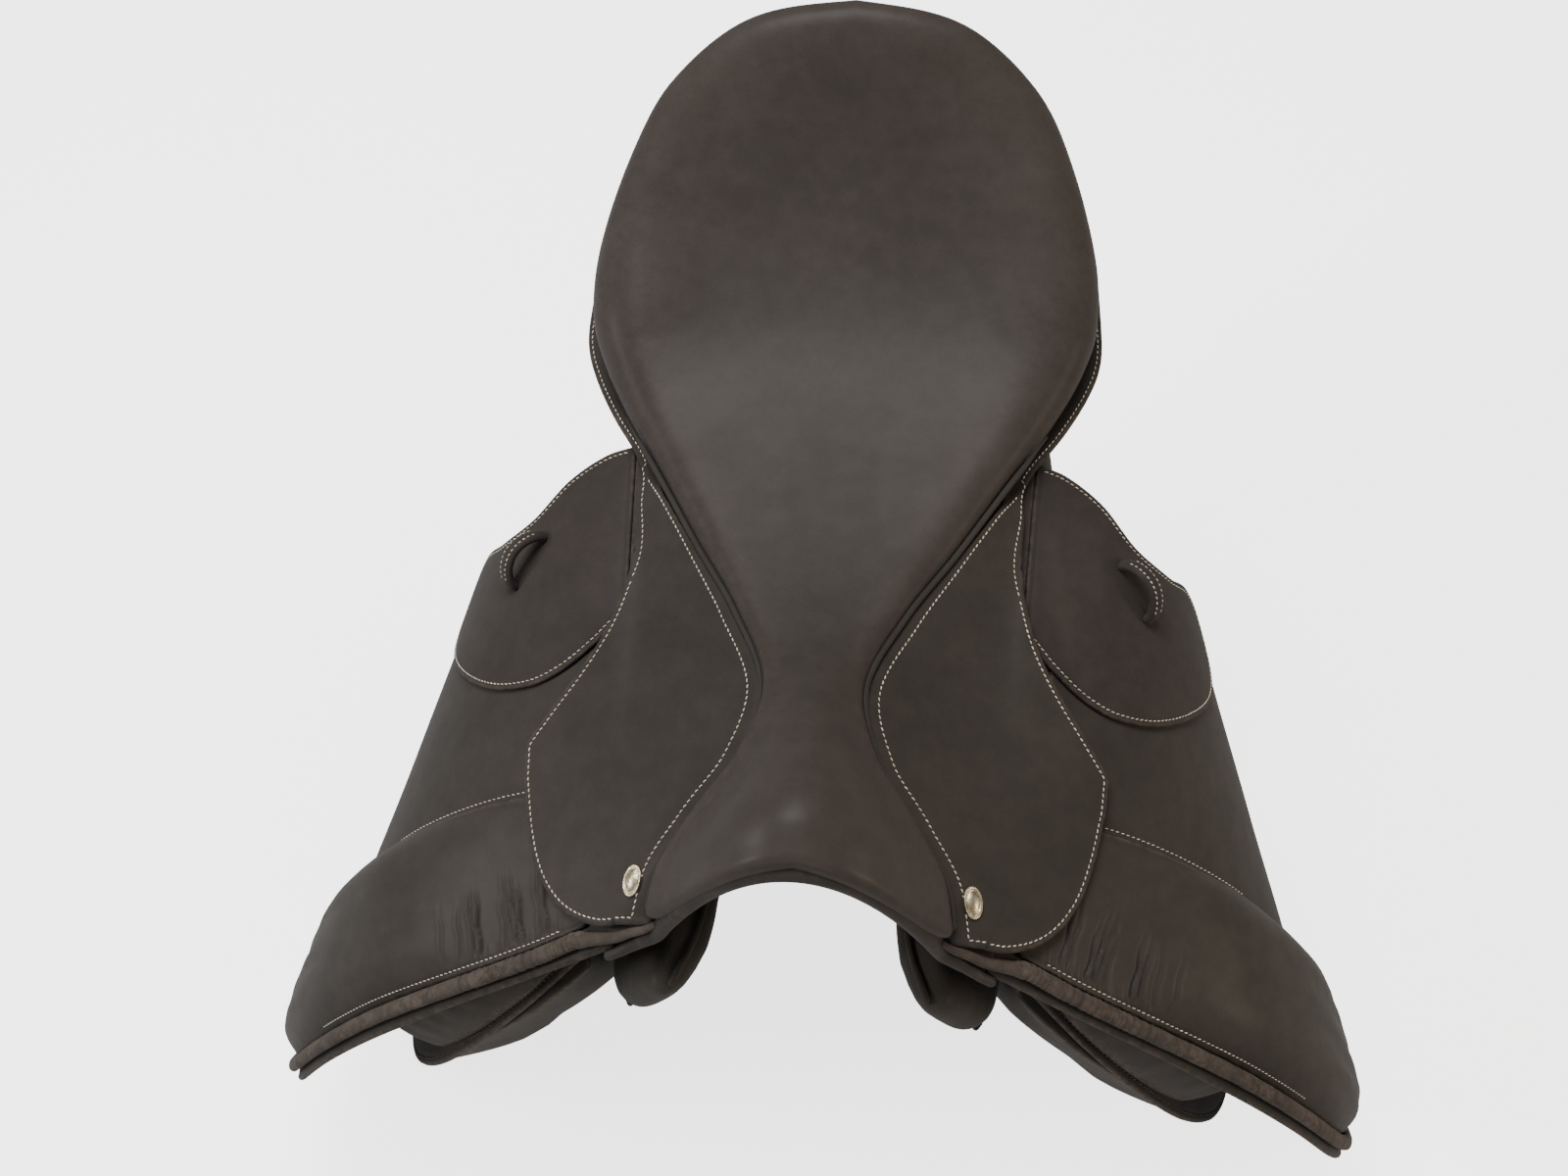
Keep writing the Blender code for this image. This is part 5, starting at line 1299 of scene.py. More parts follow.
def dome(name, place, up, ahead, wide, long, profile, made, side, around=32):
    """A round or oval head turned from a profile of (radius share, height)."""
    up = unit(np.asarray(up, float))
    ahead = unit(np.asarray(ahead, float) - up * np.dot(ahead, up))
    across = np.cross(up, ahead)
    turn = np.linspace(0.0, 2.0 * math.pi, around, endpoint=False)
    ring = across * wide * np.cos(turn)[:, None] + ahead * long * np.sin(turn)[:, None]
    rows = [place + up * h + r * ring for r, h in profile]
    faces = tube_faces(len(rows), around)
    return face_out(mesh_piece(name, np.concatenate(rows), faces, made, side))


bar_turn = Matrix.Rotation(BAR_TILT, 3, "Y") @ Matrix.Rotation(BAR_PITCH, 3, "X")
bar_up, bar_ahead = bar_turn @ Vector((0, 0, 1)), bar_turn @ Vector((0, 1, 0))
for side_name, side in SIDES:
    paint("stirrup_bar_" + side_name, STEEL)
    paint("bar_catch_" + side_name, STEEL)
    for number, (x, y) in enumerate(RIVET_PLACES):
        place = bar_turn @ Vector((x, y, BAR_THICKNESS / 2)) + Vector(BAR_PLACE)
        rivet = dome("bar_rivet_%d_%s" % (number + 1, side_name), np.array(place), bar_up, bar_ahead,
                     RIVET_RADIUS, RIVET_RADIUS, RIVET, STEEL, side, 20)
        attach(rivet, "saddle")


# Flaps
# The long forward-cut flap of stout panel hide, notched at the top round the stirrup bar, with a
# burnished edge, the slow unevenness of a large piece and a row of thread round its foot.
FLAP_LEATHER = 0.0045
FLAP_SEAM = 0.0030
FLAP_SECTIONS = (
    (-0.310, ((0.0836, 0.1216), (0.175, 0.065), (0.326, 0.010), (0.330, -0.220))),
    (-0.250, ((0.0870, 0.1265), (0.170, 0.080), (0.322, 0.030), (0.322, -0.205))),
    (-0.180, ((0.0909, 0.1323), (0.165, 0.112), (0.298, 0.058), (0.298, -0.200))),
    (-0.100, ((0.0954, 0.1388), (0.168, 0.134), (0.270, 0.072), (0.270, -0.190))),
    (-0.020, ((0.0999, 0.1454), (0.170, 0.142), (0.238, 0.095), (0.235, -0.150))),
    (0.060, ((0.1043, 0.1520), (0.165, 0.130), (0.222, 0.080), (0.220, -0.100))))
FLAP_FRONT = ((0.004, -0.244), (0.055, -0.256), (0.105, -0.266), (0.155, -0.275), (0.230, -0.284),
              (0.290, -0.286), (0.340, -0.277), (0.388, -0.256), (0.410, -0.236), (0.424, -0.215),
              (0.434, -0.190), (0.438, -0.165))
FLAP_REAR = ((0.004, 0.031), (0.024, 0.027), (0.046, 0.015), (0.070, -0.005), (0.098, -0.010),
             (0.140, 0.001), (0.200, -0.010), (0.280, -0.024), (0.340, -0.034), (0.388, -0.048),
             (0.410, -0.062), (0.424, -0.080), (0.434, -0.105), (0.438, -0.130))
NOTCH = ((-0.074, 0.004), (-0.088, 0.023), (-0.196, 0.023), (-0.206, 0.004))

FLAP = Flank(FLAP_SECTIONS)


def flap_swell(y, s, depth):
    """Slow unevenness of a large piece of hide."""
    wave = np.sin(s * 38.0 + 2.0 * np.sin(y * 19.0)) * np.sin(y * 27.0 + 0.7)
    return 0.00025 * wave * smooth_step(depth / 0.020)


flap_line = outline(FLAP_FRONT, FLAP_REAR, 0.003, top=NOTCH)
flap_shape = leather_mesh(flap_line, FLAP.off, FLAP_LEATHER, 0.0055, base=-FLAP_LEATHER, swell=flap_swell)
both_sides("flap_hide", flap_shape, FLAP_CALF, "SIDE_flap", ["flap"])
flap_seam = inset(flap_line, FLAP_SEAM)
foot_seam = flap_seam[(flap_seam[:, 1] > 0.395) & (flap_seam[:, 0] < -0.130)]
stitches("flap_foot_stitches", foot_seam, FLAP.off, "SIDE_flap", pitch=0.0033)


# Rear patches and flap heads
# A softer, grained leather sewn on each flap under the rider's thigh, stitched all round. The thin
# leather heads of patch and flap bend over the fold, from the flap up to the tree.
PATCH_LEATHER = 0.0025
PATCH_SEAM = 0.0031
HEAD_LEATHER = 0.0017
HEAD_REACH = (-0.014, 0.0062)
PATCH_FRONT = ((0.0065, -0.070), (0.013, -0.0775), (0.023, -0.0880), (0.039, -0.1000), (0.056, -0.1065),
               (0.072, -0.1070), (0.088, -0.1040), (0.107, -0.0960), (0.128, -0.0830), (0.144, -0.0695),
               (0.153, -0.0570), (0.1565, -0.0470))
PATCH_REAR = ((0.0065, 0.0285), (0.024, 0.0245), (0.046, 0.0125), (0.070, -0.0075), (0.098, -0.0125),
              (0.122, -0.0085), (0.136, -0.0120), (0.146, -0.0200), (0.153, -0.0300), (0.1565, -0.0390))
PATCH_CALF = leather("patch_calf", (0.0165, 0.0128, 0.0106), (0.0300, 0.0234, 0.0192), (0.080, 0.058, 0.046),
                     dull=0.43, grain=0.8, rub=0.5, relief=0.00014)


def patch_place(y, s, height):
    return FLAP.off(y, s, height + SEWN_GAP * 0.5)


patch_line = outline(PATCH_FRONT, PATCH_REAR, 0.0025)
patch_shape = leather_mesh(patch_line, patch_place, PATCH_LEATHER, 0.0045, groove=PATCH_SEAM)
both_sides("flap_patch_leather", patch_shape, PATCH_CALF, "SIDE_flap", ["flap_patch"])
patch_seam = inset(patch_line, PATCH_SEAM)
patch_seam = patch_seam[patch_seam[:, 1] > 0.010]
stitches("flap_patch_stitches", patch_seam, patch_place, "SIDE_flap", radius=0.00030,
         lift=PATCH_LEATHER - 0.0002)

for end, low, high, made in (("rear", -0.068, 0.0275, PATCH_CALF),
                             ("front", -0.2382, -0.2085, FLAP_CALF)):
    head_y, head_s = np.meshgrid(np.arange(low, high, 0.0024), np.linspace(*HEAD_REACH, 12), indexing="ij")
    flap_head = FLAP.off(head_y, head_s, np.full(head_y.shape, 0.0024))
    fold_middle = FLAP.on(np.array(0.5 * (low + high)), np.array(0.0))
    for side_name, side in SIDES:
        head = sheet_solid("flap_head_leather_" + end + "_" + side_name, flap_head, HEAD_LEATHER, made, side)
        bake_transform(head)


# Keeper loops
# A folded strap of leather let into each patch, stitched along both edges, that holds the tail of
# the stirrup leather.
KEEPER_ENDS = ((-0.022, 0.059), (-0.047, 0.077))
KEEPER_RISE = 0.0115
KEEPER_RADIUS = 0.0030
KEEPER_HALF = 0.0046
KEEPER_FLAT = 0.62
KEEPER_STEPS = 40

t = np.linspace(0.0, 1.0, KEEPER_STEPS + 1)
keeper_y = KEEPER_ENDS[0][0] + (KEEPER_ENDS[1][0] - KEEPER_ENDS[0][0]) * t
keeper_s = KEEPER_ENDS[0][1] + (KEEPER_ENDS[1][1] - KEEPER_ENDS[0][1]) * t
keeper_height = PATCH_LEATHER + KEEPER_RADIUS * KEEPER_FLAT + KEEPER_RISE * np.sin(math.pi * t)**0.6
keeper_path = FLAP.off(keeper_y, keeper_s, keeper_height)
keeper_up = unit(FLAP.off(keeper_y, keeper_s, keeper_height + 0.001) - keeper_path)
keeper_along = unit(np.gradient(keeper_path, axis=0))
keeper_across = unit(np.cross(keeper_along, keeper_up))
keeper_out = np.cross(keeper_across, keeper_along)


def keeper_place(w, along, height):
    """The loop's outer face: along it from 0 to 2, across it by w."""
    at = np.asarray(along) * KEEPER_STEPS * 0.5
    steps = np.arange(KEEPER_STEPS + 1.0)
    rows = [np.stack([np.interp(at, steps, values[:, k]) for k in range(3)], axis=-1)
            for values in (keeper_path, keeper_across, keeper_out)]
    bulge = KEEPER_HALF * KEEPER_FLAT * np.sqrt(np.maximum(1.0 - (w / KEEPER_HALF)**2, 0.0))
    return rows[0] + rows[1] * np.asarray(w)[..., None] + rows[2] * (bulge + height)[..., None]


for side_name, side in SIDES:
    keeper = rope("keeper_loop_strap_" + side_name, keeper_path, KEEPER_HALF, PATCH_CALF, side, 18, keeper_up,
                  flat=KEEPER_FLAT)
    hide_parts("keeper_loop_" + side_name)
    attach(keeper, side_name + "_flap")
for number, w in enumerate((-0.0024, 0.0024)):
    run = np.stack([np.full(80, w), np.linspace(0.15, 1.85, 80)], axis=1)
    stitches("keeper_stitches_%d" % (number + 1), run, keeper_place, "SIDE_flap",
             pitch=0.0028, long=0.0018, radius=0.00028, lift=-0.0001)


# Knee pads
# The padded pocket along the front of each flap: smooth calf over foam, sewn down behind along a
# dark seam and in front beside the gusset, and creased where it bends under the skirt, with painted shade in
# the bottoms of the creases.
KNEE_FRONT = ((0.020, -0.2335), (0.055, -0.243), (0.105, -0.253), (0.155, -0.261), (0.230, -0.271),
              (0.286, -0.273), (0.334, -0.264), (0.370, -0.248), (0.392, -0.230), (0.404, -0.212))
KNEE_REAR = ((0.020, -0.166), (0.060, -0.166), (0.140, -0.172), (0.220, -0.177), (0.300, -0.176),
             (0.350, -0.177), (0.380, -0.181), (0.396, -0.188), (0.404, -0.198))
KNEE_NOTCH = ((-0.196, 0.0355), (-0.206, 0.020))
KNEE_CREASES = ((0.0445, 0.20, 0.0011), (0.0480, 0.26, 0.0008), (0.060, 0.24, 0.0014),
                (0.0635, 0.30, 0.0011), (0.0665, 0.34, 0.0009), (0.0700, 0.22, 0.0008),
                (0.086, 0.16, 0.0013), (0.0900, 0.22, 0.0009), (0.098, 0.10, 0.0007),
                (0.109, 0.14, 0.0005))
KNEE_SWELL = 0.013
KNEE_SEAM = 0.0030
KNEE_SEAM_RADIUS = 0.0009
KNEE_FINE = (-0.262, 0.034, -0.192, 0.128, 0.0010)


def behind_front(y, s):
    """How far a place lies behind the pocket's front edge where it bends under the skirt."""
    return y + 0.2335 + 0.19 * (s - 0.020)


def knee_creases(y, s):
    """Each crease of the bend under the skirt: its depth, and how near a place is to it and to its lip."""
    front = behind_front(y, s)
    for at, slant, deep in KNEE_CREASES:
        wander = 0.0005 * np.sin(front * 330.0 + at * 900.0) + 0.6 * slant * (front - 0.015)
        far = 0.010 + 0.020 * math.sin(at * 410.0)**2
        run = smooth_step((front - 0.001) / 0.005) * (1.0 - smooth_step((front - far) / 0.022))
        gap = s - at - wander
        yield deep, run * np.exp(-(gap / 0.00075)**2), run * np.exp(-((gap - 0.0020) / 0.0013)**2)


def knee_swell(y, s, depth):
    """The pocket's height: crowned from its seams, with creases and long soft folds."""
    full = KNEE_SWELL * smooth_step((s - 0.060) / 0.110)
    fold = np.sin((y + 0.10 * s) * 300.0 + 2.2 * np.sin(s * 23.0)) + 0.5 * np.sin((y - 0.05 * s) * 520.0)
    fold = 0.00034 * fold * smooth_step((s - 0.170) / 0.10)
    height = full * crown(depth, 0.026) + fold * crown(depth, 0.014)
    for deep, inside, lip in knee_creases(y, s):
        height = height - deep * inside + 0.5 * deep * lip
    ruck = np.sin(s * 1650.0 + 5.0 * np.sin(s * 210.0)) * smooth_step((0.135 - s) / 0.05)
    ruck = ruck * (behind_front(y, s) < 0.012)
    return height + 0.00022 * ruck * np.exp(-((depth - 0.0062) / 0.0030)**2)


def knee_crease_shade(y, s, depth):
    """How much painted shade darkens the bottom of each crease."""
    return np.clip(sum(0.55 * deep / 0.0012 * inside for deep, inside, lip in knee_creases(y, s)), 0.0, 1.0)


KNEE_CALF = leather("knee_pad_calf", (0.0160, 0.0126, 0.0098), (0.0300, 0.0236, 0.0184),
                    (0.090, 0.066, 0.048), dull=0.36, grain=0.25, rub=0.5, relief=0.00006, coat=0.06)
knee_line = outline(KNEE_FRONT, KNEE_REAR, 0.0022, top=((-0.1660, 0.0355), *KNEE_NOTCH))
knee_line = knee_line[~((knee_line[:, 0] > -0.170) & (knee_line[:, 1] < 0.035))]
knee_shape = leather_mesh(knee_line, FLAP.off, PAD_EDGE, 0.0028, base=SEWN_GAP * 0.4, swell=knee_swell,
                          groove=KNEE_SEAM, fine=KNEE_FINE, dark=knee_crease_shade, rings=PAD_RINGS)
both_sides("knee_pad_pocket", knee_shape, KNEE_CALF, "SIDE_flap", ["knee_pad"])


def knee_side(y, s, height):
    """The pocket's own leather, for what is sewn on it."""
    depth = edge_distance(np.stack([y, s], axis=1), knee_line)
    return FLAP.off(y, s, height + SEWN_GAP * 0.4 + PAD_EDGE + knee_swell(y, s, depth))


knee_seam = inset(knee_line, KNEE_SEAM)
front_seam = knee_seam[(knee_seam[:, 1] > 0.034) & (knee_seam[:, 1] < 0.225) & (knee_seam[:, 0] < -0.222)]
front_seam = front_seam[np.argsort(front_seam[:, 1])]
stitches("knee_pad_front_stitches", front_seam, knee_side, "SIDE_flap", pitch=0.0031,
         radius=0.00030, lift=-0.0003)
rear_seam = through([(y + 0.0026, s) for s, y in KNEE_REAR[:-2]], 0.003)
sewn = rear_seam[(rear_seam[:, 1] > 0.045) & (rear_seam[:, 1] < 0.170)]
stitches("knee_pad_rear_stitches", sewn, FLAP.off, "SIDE_flap", pitch=0.0033,
         radius=0.00030)
dark_path = FLAP.off(rear_seam[:, 0] - 0.0022, rear_seam[:, 1], np.full(len(rear_seam), KNEE_SEAM_RADIUS))
for side_name, side in SIDES:
    dark_seam = rope("knee_pad_rear_seam_" + side_name, dark_path, KNEE_SEAM_RADIUS, TRIM_CALF, side, 8)
    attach(dark_seam, side_name + "_flap")


# Gussets
# A band of lighter, drier leather between pocket and flap edge, rucked where it bends under the
# skirt, with painted shade in the hollows of the rucks, and drawn round the tip.
GUSSET_RADIUS = 0.0043
GUSSET_FLAT = 0.74
GUSSET_OUT = 0.0050
GUSSET_FRONT = -0.2402
GUSSET_TIP = ((0.4045, -0.2010), (0.399, -0.1905), (0.388, -0.1835), (0.372, -0.1795))
GUSSET_HEAD = ((0.0812, -0.2394, 0.1362), (0.0745, -0.2388, 0.1408), (0.0685, -0.2380, 0.1485))
GUSSET_HIDE = leather("gusset_hide", (0.0260, 0.0200, 0.0158), (0.0520, 0.0400, 0.0318),
                      (0.110, 0.086, 0.068), dull=0.50, grain=1.0, rub=0.9, relief=0.00022, coat=0.0)
knee_edge = through([(y, s) for s, y in (*KNEE_FRONT, *GUSSET_TIP)], 0.0010)
turned = unit(np.gradient(knee_edge, axis=0))
gusset_y, gusset_s = (knee_edge + np.stack([-turned[:, 1], turned[:, 0]], axis=1) * GUSSET_OUT).T
gusset_y = np.minimum(gusset_y, -0.2400 + 1.2 * smooth_step((gusset_s - 0.030) / 0.030))
gusset_height = np.full(len(gusset_y), GUSSET_RADIUS * GUSSET_FLAT + SEWN_GAP * 0.5)
gusset_path = FLAP.off(gusset_y, gusset_s, gusset_height)
gusset_up = unit(FLAP.off(gusset_y, gusset_s, np.full(len(gusset_y), 0.02)) - gusset_path)
gusset_run = np.linspace(0.0, 1.0, len(gusset_s))
rucked = 0.006 + 0.040 * smooth_step((0.130 - gusset_s) / 0.05)
gusset_wave = np.sin(gusset_s * 1900.0 + 5.0 * np.sin(gusset_s * 170.0)) * rucked
gusset_wave = gusset_wave + 0.015 * np.sin(gusset_s * 300.0 + 1.0)
gusset_width = GUSSET_RADIUS * (1.0 + gusset_wave) * (1.0 - 0.55 * smooth_step((gusset_run - 0.93) / 0.07))
# Painted shade: the crease mark darkens the band where the rucks pinch it narrow.
gusset_marks = {"edge": 0.25 + 0.25 * np.sin(gusset_s * 61.0)**2,
                "crease": np.clip(-gusset_wave * 9.0, 0.0, 0.8)}
head_start = FLAP.off(np.array((GUSSET_FRONT + 0.0001, GUSSET_FRONT, GUSSET_FRONT)),
                      np.array((0.026, 0.012, 0.0)), np.full(3, 0.0036))
head_line = through(np.concatenate([head_start, GUSSET_HEAD]), 0.0012)
head_width = np.linspace(0.0041, 0.0016, len(head_line))
head_marks = {"edge": np.full(len(head_line), 0.2)}
fold_front = FLAP.on(GUSSET_FRONT, 0.0)
for side_name, side in SIDES:
    gusset = rope("flap_gusset_band_" + side_name, gusset_path, gusset_width, GUSSET_HIDE, side, 22,
                  gusset_up, flat=GUSSET_FLAT, marks=gusset_marks)
    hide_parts("flap_gusset_" + side_name)
    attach(gusset, side_name + "_flap")
    head = rope("gusset_head_" + side_name, head_line, head_width, GUSSET_HIDE, side, 22,
                (0.45, 0.0, 0.9), flat=0.80, marks=head_marks)
    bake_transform(head)


# Skirts
# The smaller leather over each stirrup bar: a strip sewn beside the seat and on under its rolled
# edge, and the leaf that folds up from it. Cream thread runs round the edge and beside the welt.
FOLD_X, FOLD_Y, FOLD_Z = 0.088, -0.232, 0.128
FOLD_SPREAD, FOLD_RISE = 0.056, 0.082
HINGE_OUT = 0.003
HINGE_UP = 0.010
LEAF_LIFT = 0.0074
LEAF_LIFT_AT_FOLD = 0.0026
SKIRT_FRONT = ((-0.0003, -0.2368), (0.010, -0.236), (0.024, -0.230), (0.037, -0.220), (0.047, -0.205),
               (0.053, -0.185), (0.057, -0.158))
SKIRT_REAR = ((-0.0003, -0.036), (0.004, -0.055), (0.013, -0.080), (0.028, -0.104), (0.047, -0.128),
              (0.053, -0.135), (0.057, -0.140))
STRIP_FRONT_Y = -0.2365
STRIP_REAR_Y = 0.150
STITCH_IN = 0.0032
STRIP_TUCK = 0.0024


def hinge_line(y):
    """The line that the leaf folds on, just outside and above the tree's own fold."""
    run = np.asarray(y, float) - FOLD_Y
    return np.stack([FOLD_X + FOLD_SPREAD * run + HINGE_OUT, FOLD_Y + run,
                     FOLD_Z + FOLD_RISE * run + HINGE_UP], axis=-1)


def leaf_point(y, s):
    """Outer face of the leaf, from the fold down over the bar to its stitched edge."""
    near = smooth_step(s / 0.030)[..., None]
    lift = LEAF_LIFT + LEAF_LIFT_AT_FOLD * (1.0 - smooth_step(s / 0.070))
    return (1.0 - near) * (FLAP.on(y, s) + (HINGE_OUT, 0.0, HINGE_UP)) + near * FLAP.off(y, s, lift)


def leaf_place(y, s, height):
    return off_surface(leaf_point, y, s, height, 0.002)


def strip_outer(y):
    """The strip's outer edge: the fold in front, and behind it a line under the seat's roll."""
    roll = spline(y, SEAT_EDGE[:, 1], SEAT_EDGE[:, 3])
    drop = 0.643 * roll + 0.0020 + 0.0055 * smooth_step((y - 0.030) / 0.090)
    under = beside_seat(y, 0.0035 + 0.0040 * smooth_step((0.125 - y) / 0.050))
    under[..., 2] -= drop
    mix = smooth_step((y + 0.034) / 0.078)[..., None]
    return (1.0 - mix) * hinge_line(y) + mix * under


def strip_point(y, f):
    """Outer face of the strip: f runs from the welt to the fold, and to its free edge behind."""
    y = np.asarray(y, float)
    f = np.asarray(f, float)[..., None]
    tucked = np.minimum(f, 0.0)
    f = np.maximum(f, 0.0)
    start = beside_seat(y, WELT_OUT + WELT_RADIUS + 0.0001)
    start[..., 2] -= 0.0013
    end = hinge_line(y)
    slope = unit(leaf_point(y, np.full(y.shape, 0.006)) - leaf_point(y, np.zeros(y.shape)))
    width = np.linalg.norm(end - start, axis=-1, keepdims=True)
    a = start + (end - start) * 0.33 + np.array((0.0, 0.0, 0.05)) * width
    b = end - slope * width * 0.33
    skirt = (1 - f)**3 * start + 3 * (1 - f)**2 * f * a + 3 * (1 - f) * f**2 * b + f**3 * end
    skirt = skirt + tucked * (end - start) * (1.0, 1.0, 0.0)
    outer = strip_outer(y)
    band = outer + (f + tucked - 1.0) * np.array((0.012, 0.0, 0.0))
    mix = smooth_step((y + 0.015) / 0.025)[..., None]
    return (1.0 - mix) * skirt + mix * band


def strip_by_x(y, x):
    """The strip's outer face at a place seen from above."""
    y, x = np.broadcast_arrays(y, x)
    inner = strip_point(y, np.zeros(y.shape))[..., 0]
    outer = strip_point(y, np.ones(y.shape))[..., 0]
    return strip_point(y, (x - inner) / (outer - inner))


def strip_place(y, x, height):
    """Places a height outward from the strip."""
    along = strip_by_x(y + 0.0015, x) - strip_by_x(y - 0.0015, x)
    over = strip_by_x(y, x + 0.0015) - strip_by_x(y, x - 0.0015)
    return strip_by_x(y, x) + np.asarray(height)[..., None] * unit(np.cross(over, along))


SKIRT_CALF = leather("skirt_calf", (0.0165, 0.0134, 0.0106), (0.0290, 0.0232, 0.0184), (0.075, 0.055, 0.042),
                     dull=0.40, grain=0.35, rub=0.6, relief=0.00008)
strip_ys = even(np.array(((STRIP_FRONT_Y, 0.0), (STRIP_REAR_Y, 0.0))), 0.0025)[:, 0]
inner_edge = np.stack([strip_ys, strip_point(strip_ys, np.zeros(len(strip_ys)))[:, 0]], axis=1)
inner_edge[:, 1] -= STRIP_TUCK * (1.0 - smooth_step((strip_ys + 0.045) / 0.030))
inner_edge[:, 1] -= STRIP_TUCK * (1.0 - smooth_step((strip_ys + 0.175) / 0.045))
outer_edge = np.stack([strip_ys, strip_point(strip_ys, np.ones(len(strip_ys)))[:, 0]], axis=1)
rear_end = even([inner_edge[-1], outer_edge[-1]], 0.0025)[1:-1]
front_end = even([outer_edge[0], inner_edge[0]], 0.0025)[1:-1]
strip_line = np.concatenate([inner_edge, rear_end, outer_edge[::-1], front_end])


def strip_thin(y, x, depth):
    """Keeps the strip at full thickness up to the fold, where the leaf goes on from it."""
    outer = np.interp(y, outer_edge[:, 0], outer_edge[:, 1])
    at_fold = (y < -0.030) & (outer - x < 0.0022) & (y > STRIP_FRONT_Y + 0.002)
    return np.where(at_fold, SKIRT_LEATHER * 0.5 * (1.0 - edge_bend(depth, SKIRT_LEATHER)), 0.0)


def leaf_thin(y, s, depth):
    """Keeps the leaf at full thickness along the fold, where it goes on from the strip."""
    at_fold = (s < 0.0022) & (y > -0.2345)
    return np.where(at_fold, SKIRT_LEATHER * 0.5 * (1.0 - edge_bend(depth, SKIRT_LEATHER)), 0.0)


def skirt_mesh(line, place, spacing, swell):
    """Skirt leather cut to a line, with no rubbed tone on the edges that meet on the fold."""
    vertices, faces, marks = leather_mesh(line, place, SKIRT_LEATHER, spacing, base=-SKIRT_LEATHER,
                                          swell=swell)
    gap = np.linalg.norm(vertices - hinge_line(vertices[:, 1]), axis=1)
    marks["edge"] = marks["edge"] * smooth_step((gap - 0.0045) / 0.002)
    return vertices, faces, marks


strip_shape = skirt_mesh(strip_line, strip_place, 0.0035, strip_thin)
both_sides("skirt_strip", strip_shape, SKIRT_CALF, "saddle", ["skirt_inner"])
leaf_line = outline(SKIRT_FRONT, SKIRT_REAR, 0.0022)
leaf_shape = skirt_mesh(leaf_line, leaf_place, 0.0032, leaf_thin)
both_sides("skirt_leaf", leaf_shape, SKIRT_CALF, "SIDE_skirt", ["skirt"])


def beside_edge(edge, ys, gap):
    """Places on the strip at a gap from one of its long edges."""
    x = np.interp(ys, edge[:, 0], edge[:, 1])
    return np.stack([ys, x + gap * np.hypot(1.0, np.gradient(x, ys))], axis=1)


sewn_line = outline(((-0.030, -0.2368), *SKIRT_FRONT), ((-0.030, 0.020), (0.0, 0.020), *SKIRT_REAR), 0.0022)
sewn = inset(sewn_line, STITCH_IN)
sewn = sewn[(sewn[:, 1] > -0.020) & (sewn[:, 0] < 0.010)]
stitches("skirt_edge_stitches", sewn[sewn[:, 1] > 0.0006], leaf_place, "SIDE_skirt")
rear_run = sewn[(sewn[:, 1] < 0.0006) & (sewn[:, 0] > -0.100)]
rear_run = rear_run[np.argsort(rear_run[:, 0])]
rear_run[:, 1] += np.interp(rear_run[:, 0], outer_edge[:, 0], outer_edge[:, 1])
beside_roll = strip_ys[(strip_ys > 0.012) & (strip_ys < 0.146)]
drawn = STITCH_IN - 0.0006 * smooth_step((beside_roll - 0.012) / 0.030)
rear_run = np.concatenate([rear_run, beside_edge(outer_edge, beside_roll, -drawn)])
stitches("skirt_strip_rear_stitches", rear_run, strip_place, "saddle", radius=0.00030)
inner_ys = strip_ys[(strip_ys > STRIP_FRONT_Y + STITCH_IN) & (strip_ys < 0.003)]
inner_gap = WELT_OUT + WELT_RADIUS + 0.0030 + 0.0022 * smooth_step((-0.030 - inner_ys) / 0.060)
inner_run = beside_seat(inner_ys, inner_gap)[:, 1::-1]
front_run = np.array(((STRIP_FRONT_Y + STITCH_IN, outer_edge[0, 1] - 0.0006),
                      (STRIP_FRONT_Y + STITCH_IN, inner_run[0, 1])))
welt_run = np.concatenate([front_run, inner_run[1:]])
stitches("skirt_welt_stitches", welt_run, strip_place, "saddle")


# Skirt nails
# A domed oval nail head of nickel silver at each front corner of the skirts, with a plain ring.
NAIL_PLACE = -0.216
NAIL_SIZE = (0.0052, 0.0080)
NAIL = ((1.0, -0.0002), (1.0, 0.0009), (0.965, 0.00125), (0.91, 0.00135), (0.86, 0.0012), (0.83, 0.0012),
        (0.80, 0.0015), (0.76, 0.0016), (0.72, 0.0015), (0.69, 0.0013), (0.64, 0.0015), (0.50, 0.0020),
        (0.30, 0.0024), (0.02, 0.0026))
NAIL_TARNISH = (0.26, 0.21, 0.13, 1)
NAIL_BRIGHT = (0.66, 0.58, 0.42, 1)


def nail_material():
    made, shader = shader_material("nickel_silver", 0.32, metallic=1.0)
    tree = made.node_tree
    place = object_place(tree)
    worn = spread_over(tree, noise(tree, place, 420.0, 5.0, 0.65), 0.36, 0.64)
    tree.links.new(mix_colour(tree, worn, NAIL_TARNISH, NAIL_BRIGHT), shader.inputs["Base Color"])
    rough = math_node(tree, "MULTIPLY_ADD", worn, -0.22, 0.50)
    tree.links.new(rough, shader.inputs["Roughness"])
    bump(tree, worn, shader, 0.35, 0.0002)
    return made


NICKEL_SILVER = nail_material()
nail_base = strip_point(np.array(NAIL_PLACE), np.array(0.5))
nail_ahead = strip_point(np.array(NAIL_PLACE + 0.004), np.array(0.5)) - nail_base
nail_over = strip_point(np.array(NAIL_PLACE), np.array(0.55)) - nail_base
for side_name, side in SIDES:
    nail = dome("skirt_nail_head_" + side_name, nail_base, np.cross(nail_over, nail_ahead), nail_ahead,
                *NAIL_SIZE, NAIL, NICKEL_SILVER, side, 48)
    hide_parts("skirt_nail_" + side_name)
    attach(nail, "saddle")


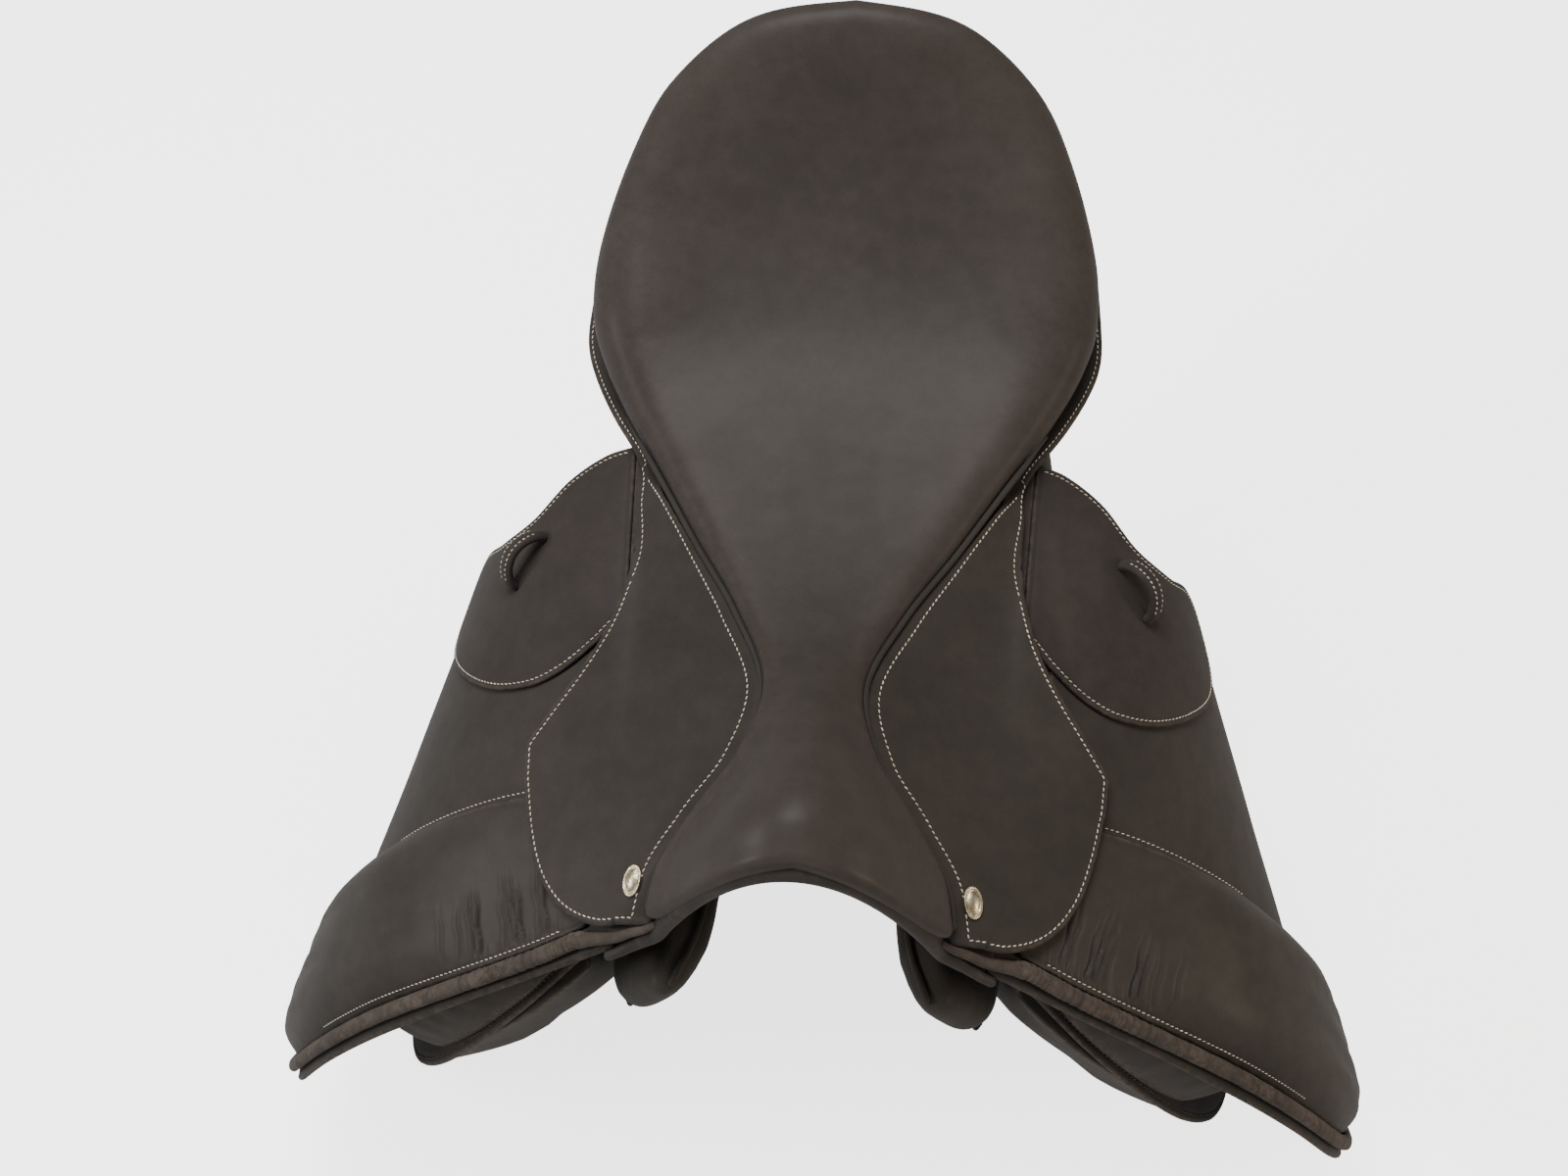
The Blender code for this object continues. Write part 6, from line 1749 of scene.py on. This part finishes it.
# Stage
# A plain pale floor that glows for the camera alone, a dim white room, four soft lights, and the
# camera at the photograph's angle: its turn, tip and roll in degrees and its focal length in pixels.
FLOOR_REACH = 60.0
CAMERA_PLACE = (0.0456, -0.4532, 0.9345)
CAMERA_TURN, CAMERA_TIP, CAMERA_ROLL = 9.51, 62.75, -5.52
FOCAL_PIXELS = 1714.6
FRAME_PIXELS = 1600.0
SENSOR_WIDTH = 36.0

floor_z = cad_low[2] - 0.001
floor_mesh = bpy.data.meshes.new("floor")
floor_mesh.from_pydata([(x * FLOOR_REACH, y * FLOOR_REACH, floor_z)
                        for x, y in ((-1, -1), (1, -1), (1, 1), (-1, 1))], [], [(0, 1, 2, 3)])
floor = add_object("floor", floor_mesh)
floor_paint, floor_shader = shader_material("pale_floor", 0.9)
floor_shader.inputs["Base Color"].default_value = (0.90, 0.90, 0.90, 1.0)
floor_shader.inputs["Emission Color"].default_value = (1.0, 1.0, 1.0, 1.0)
seen = floor_paint.node_tree.nodes.new("ShaderNodeLightPath")
glow = math_node(floor_paint.node_tree, "MULTIPLY", seen.outputs["Is Camera Ray"], 2.6)
floor_paint.node_tree.links.new(glow, floor_shader.inputs["Emission Strength"])
floor_mesh.materials.append(floor_paint)

world = bpy.data.worlds.new("studio")
bpy.context.scene.world = world
world.use_nodes = True
backdrop = world.node_tree.nodes["Background"]
backdrop.inputs["Color"].default_value = (1.0, 1.0, 1.0, 1.0)
backdrop.inputs["Strength"].default_value = 0.24


def soft_light(name, place, aim, size, power, tint=(1.0, 1.0, 1.0)):
    """A flat soft light at a place, turned to its aim."""
    lamp = bpy.data.lights.new(name, "AREA")
    lamp.shape = "RECTANGLE"
    lamp.size, lamp.size_y = size
    lamp.energy = power
    lamp.color = tint
    holder = add_object(name, lamp)
    holder.location = place
    holder.rotation_euler = (Vector(aim) - Vector(place)).to_track_quat("-Z", "Y").to_euler()


soft_light("overhead", (-0.3, 0.6, 2.1), (0.0, 0.0, 0.1), (1.2, 0.9), 60.0)
soft_light("left_window", (-1.7, -0.5, 1.2), (-0.1, -0.1, 0.0), (0.6, 0.5), 27.0)
soft_light("right_warm", (2.0, -0.5, 0.6), (0.1, -0.1, 0.0), (0.6, 0.5), 18.0, (1.0, 0.82, 0.62))
soft_light("front_low", (0.1, -2.0, 0.8), (0.0, -0.1, 0.1), (1.2, 0.5), 7.0)

turn, tip, roll = math.radians(CAMERA_TURN), math.radians(CAMERA_TIP), math.radians(CAMERA_ROLL)
look = Vector((-math.sin(turn) * math.cos(tip), math.cos(turn) * math.cos(tip), -math.sin(tip)))
right = Vector((math.cos(turn), math.sin(turn), 0.0))
up = right.cross(look)
camera_right = math.cos(roll) * right + math.sin(roll) * up
camera_up = -math.sin(roll) * right + math.cos(roll) * up
camera_data = bpy.data.cameras.new("camera")
camera_data.sensor_width = SENSOR_WIDTH
camera_data.lens = SENSOR_WIDTH * FOCAL_PIXELS / FRAME_PIXELS
camera = add_object("camera", camera_data)
camera_axes = Matrix((camera_right, camera_up, -look)).transposed().to_4x4()
camera.matrix_world = Matrix.Translation(CAMERA_PLACE) @ camera_axes
bpy.context.scene.camera = camera
